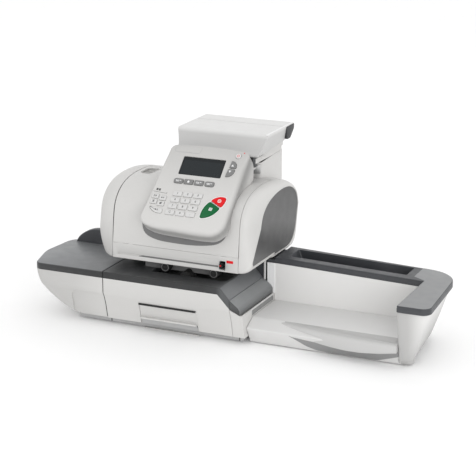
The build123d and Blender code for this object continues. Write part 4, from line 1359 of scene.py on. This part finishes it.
# ---- small outside trim
def make_trim():
    """Edge strip beside the feeder, a black plate painting the shadow in the slot over the drawer, plinth
    joints and the strip at table level.
    """
    corners = [(141, -22.5), (145, -22.5), (145, 8), (253, 8), (253, 15), (141, 15)]
    strip = rounded(corners, (0.4, 0.4, 3, 1, 1, 1), 3)
    rings = layers(strip, ((0.3, 251.4), (0, 251.7), (0, 253.7), (0.3, 254)), along_x)
    settle(lofted("edge_strip", rings, KEY_WHITE, smooth=50), "chassis", "light_casing")
    plates = (("fence_panel", (225, 251.2), (145.6, 147.2), (-24, 16.2), DARK, "black_plastic"),
              ("edge_gap", (253.8, 256.2), (145.8, 216), (-30, 12), BLACK, "black_plastic"),
              # The cheek plate's brightness is painted light on the wall's side.
              ("wall_cheek", (256.2, 270.8), (145.9, 147.3), (-47, 9.0), CHEEK_PAINTED_LIGHT, "light_casing"),
              ("rim_wing", (256.2, 270.8), (147.4, 216), (9.0, 14.5), DARK, "dark_deck"),
              ("roller_wall", (54, 199), (60.8, 62), (0.1, 9.5), GREY_AND_SHADE, "black_plastic"),
              ("bay_lip", (266.6, 268.6), (44, 146), (-50.6, -47.4), KEY_WHITE, "light_casing"),
              ("bay_lining", (267.4, 268.4), (50, 146), (-66.5, -50.8), SHADE_GREY, "plinth_grey"))
    for name, (x0, x1), (y0, y1), (z0, z1), finish, slot in plates:
        plate = prism(name, rect(x0, y0, x1, y1), along_z, z0, z1, finish)
        bevel(plate, 0.3, 2)
        settle(plate, "chassis", slot)
    # Painted shadow: a black plate behind the slot over the drawer.
    recess = rect(69, -53.4, 180, -50.2)
    settle(prism("drawer_slot_shadow", recess, along_y, 3.2, 4.4, BLACK), "chassis", "black_plastic")
    for name, body, y, low, high in (("drawer_kick", "drawer", 12.6, -84.2, -80.3),
                                     ("bay_kick", "chassis", 16.2, -91, -84.8)):
        kick = rect(69.4, low, 179.6, high, 0.4, 2)
        settle(prism(name, kick, along_y, y, y + 1.6, PLINTH), body, "plinth_grey")
    lip = rect(24, -103.9, 29, -102.1, 0.6, 3)
    settle(prism("table_strip", lip, along_x, 69, 178, LIGHT), "chassis", "light_casing")
    for index, x in enumerate((0.6, 254.5)):
        joint = box_outline(x, 29.5, 1.8, 2)
        joint = prism("plinth_joint_%d" % index, joint, along_z, PLINTH_FOOT, CASING_FOOT - 0.2, INK)
        settle(joint, "chassis", "black_plastic")


def make_pan():
    """The grey pan under the casings and the rubber feet below it."""
    outline = [(-66, 29), (262, 29), (262, 52), (536, 52), (536, 206), (262, 206), (262, 252), (2, 252),
               (2, 160), (-66, 160)]
    pan = prism("grey_pan", outline, along_z, PLINTH_FOOT, CASING_FOOT, PLINTH)
    bevel(pan, 0.6, 2)
    settle(pan, "chassis", "plinth_grey", "floor_pan")
    points, faces = [], []
    for x in (-46, 240, 300, 524):
        for y in (66, 190 if x > 0 else 136):
            more, sides = skin([placed(circle(x, y, radius, 32), along_z, z) for radius, z in
                                ((8.1, -104.5), (8.7, -104.2), (9, -103.6), (9, -101.9))])
            faces += [[i + len(points) for i in side] for side in sides]
            points += more
    settle(solid("feet", points, faces, RUBBER, smooth=40), "chassis", "rubber", "rubber_feet")
    bump = [circle_point((142, 0.2), 7, math.pi * k / 16) for k in range(17)]
    settle(prism("roller_shadow", bump, along_y, 60.2, 61, BLACK), "chassis", "black_plastic")


def make_rollers():
    """The two pinch rollers: a tyre, a paler ring and a dark hub over the pin."""
    tyre = ((0.4, 42.7), (2.0, 42.7), (2.5, 43.0), (2.6, 43.9), (4.2, 43.9), (4.4, 43.2), (5.2, 43.0),
            (5.8, 43.4), (6.0, 45), (7.4, 45), (7.7, 44.2), (8.2, 44.1), (8.6, 44.6), (8.6, 59), (8.2, 59.5),
            (3.2, 59.5))
    band = ((7.3, 44.6), (7.25, 43.9), (7.0, 43.7), (6.3, 43.7), (6.05, 43.9), (6.05, 44.9))
    for side, x in (("left", 102), ("right", 197)):
        wheel, ring = [[placed(circle(x, 9.0, radius, count), along_y, y) for radius, y in profile]
                       for profile, count in ((tyre, 48), (band, 40))]
        wheel = lofted("pinch_wheel_" + side, wheel, RUBBER)
        settle(wheel, "pinch_" + side, "rubber", "pinch_roller_" + side)
        ring = solid("pinch_ring_" + side, *skin(ring, filled=False), GREY_AND_SHADE, smooth=40)
        settle(ring, "pinch_" + side, "plinth_grey")


# ---- stand of the weighing platform
def under_stand_top(x, y, below):
    """A point below the stand's top edge, which rises a little to the rear."""
    return (x, y, 184.5 + 0.058 * (y - 290) - below)


def make_stand():
    """The platform's stand with its wider skirt and dark slit on top, its bracket and its gusset."""
    plan = rect(84, 190, 224, 290, (7, 7, 4, 4), 8)
    levels = ((0, 1), (0.3, 0.3), (0.9, 0), (2.2, 0), (2.6, 0.4), (2.6, 5))
    rings = [placed(plan, along_z, 120)] + layers(plan, levels, under_stand_top)
    stand = lofted("stand_box", rings, LIGHT, smooth=40)
    settle(stand, "chassis", "light_casing", "scale_stand")
    for name, grow, rise, high, finish, slot in (("base_skirt", 1.5, 8.0, 203.0, LIGHT, "light_casing"),
                                                 ("base_gap", -3.4, -2.0, 196.0, BLACK, "black_plastic")):
        plate = moved_in(rect(84, 203, 224, 290, (7, 7, 4, 4), 6), -grow)
        rings = [placed(plate, under_stand_top, -rise), placed(plate, along_z, high)]
        settle(lofted(name, rings, finish), "chassis", slot)
    bracket = rect(214, 157, 222.5, 178, 1, 3)
    rings = layers(bracket, ((0.5, 176), (0, 176.5), (0, 196.6), (0.5, 197.1)), along_z)
    settle(lofted("cell_bracket", rings, NIGHT, smooth=50), "chassis", "black_plastic")
    rings = []
    for z, reach in ((150, 2), (156, 6), (162, 11), (168, 17), (173, 23), (176, 27)):
        corners = [(206, 197 - reach), (222, 197 - reach * 0.8), (222, 198), (206, 198)]
        rings.append(placed(rounded(corners, min(6.0, reach * 0.4), 4), along_z, z))
    settle(lofted("stand_gusset", rings, GUSSET, smooth=50), "chassis", "light_casing")


make_guard_strip()
make_lever()
make_exit()
make_feeder_casing()
make_feeder_rim()
make_tray()
make_tongue()
make_tongue_underside()
make_arm_foot()
make_trim()
make_pan()
make_rollers()
make_stand()

for node_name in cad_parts:
    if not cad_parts[node_name].hide_render:
        dress(node_name)
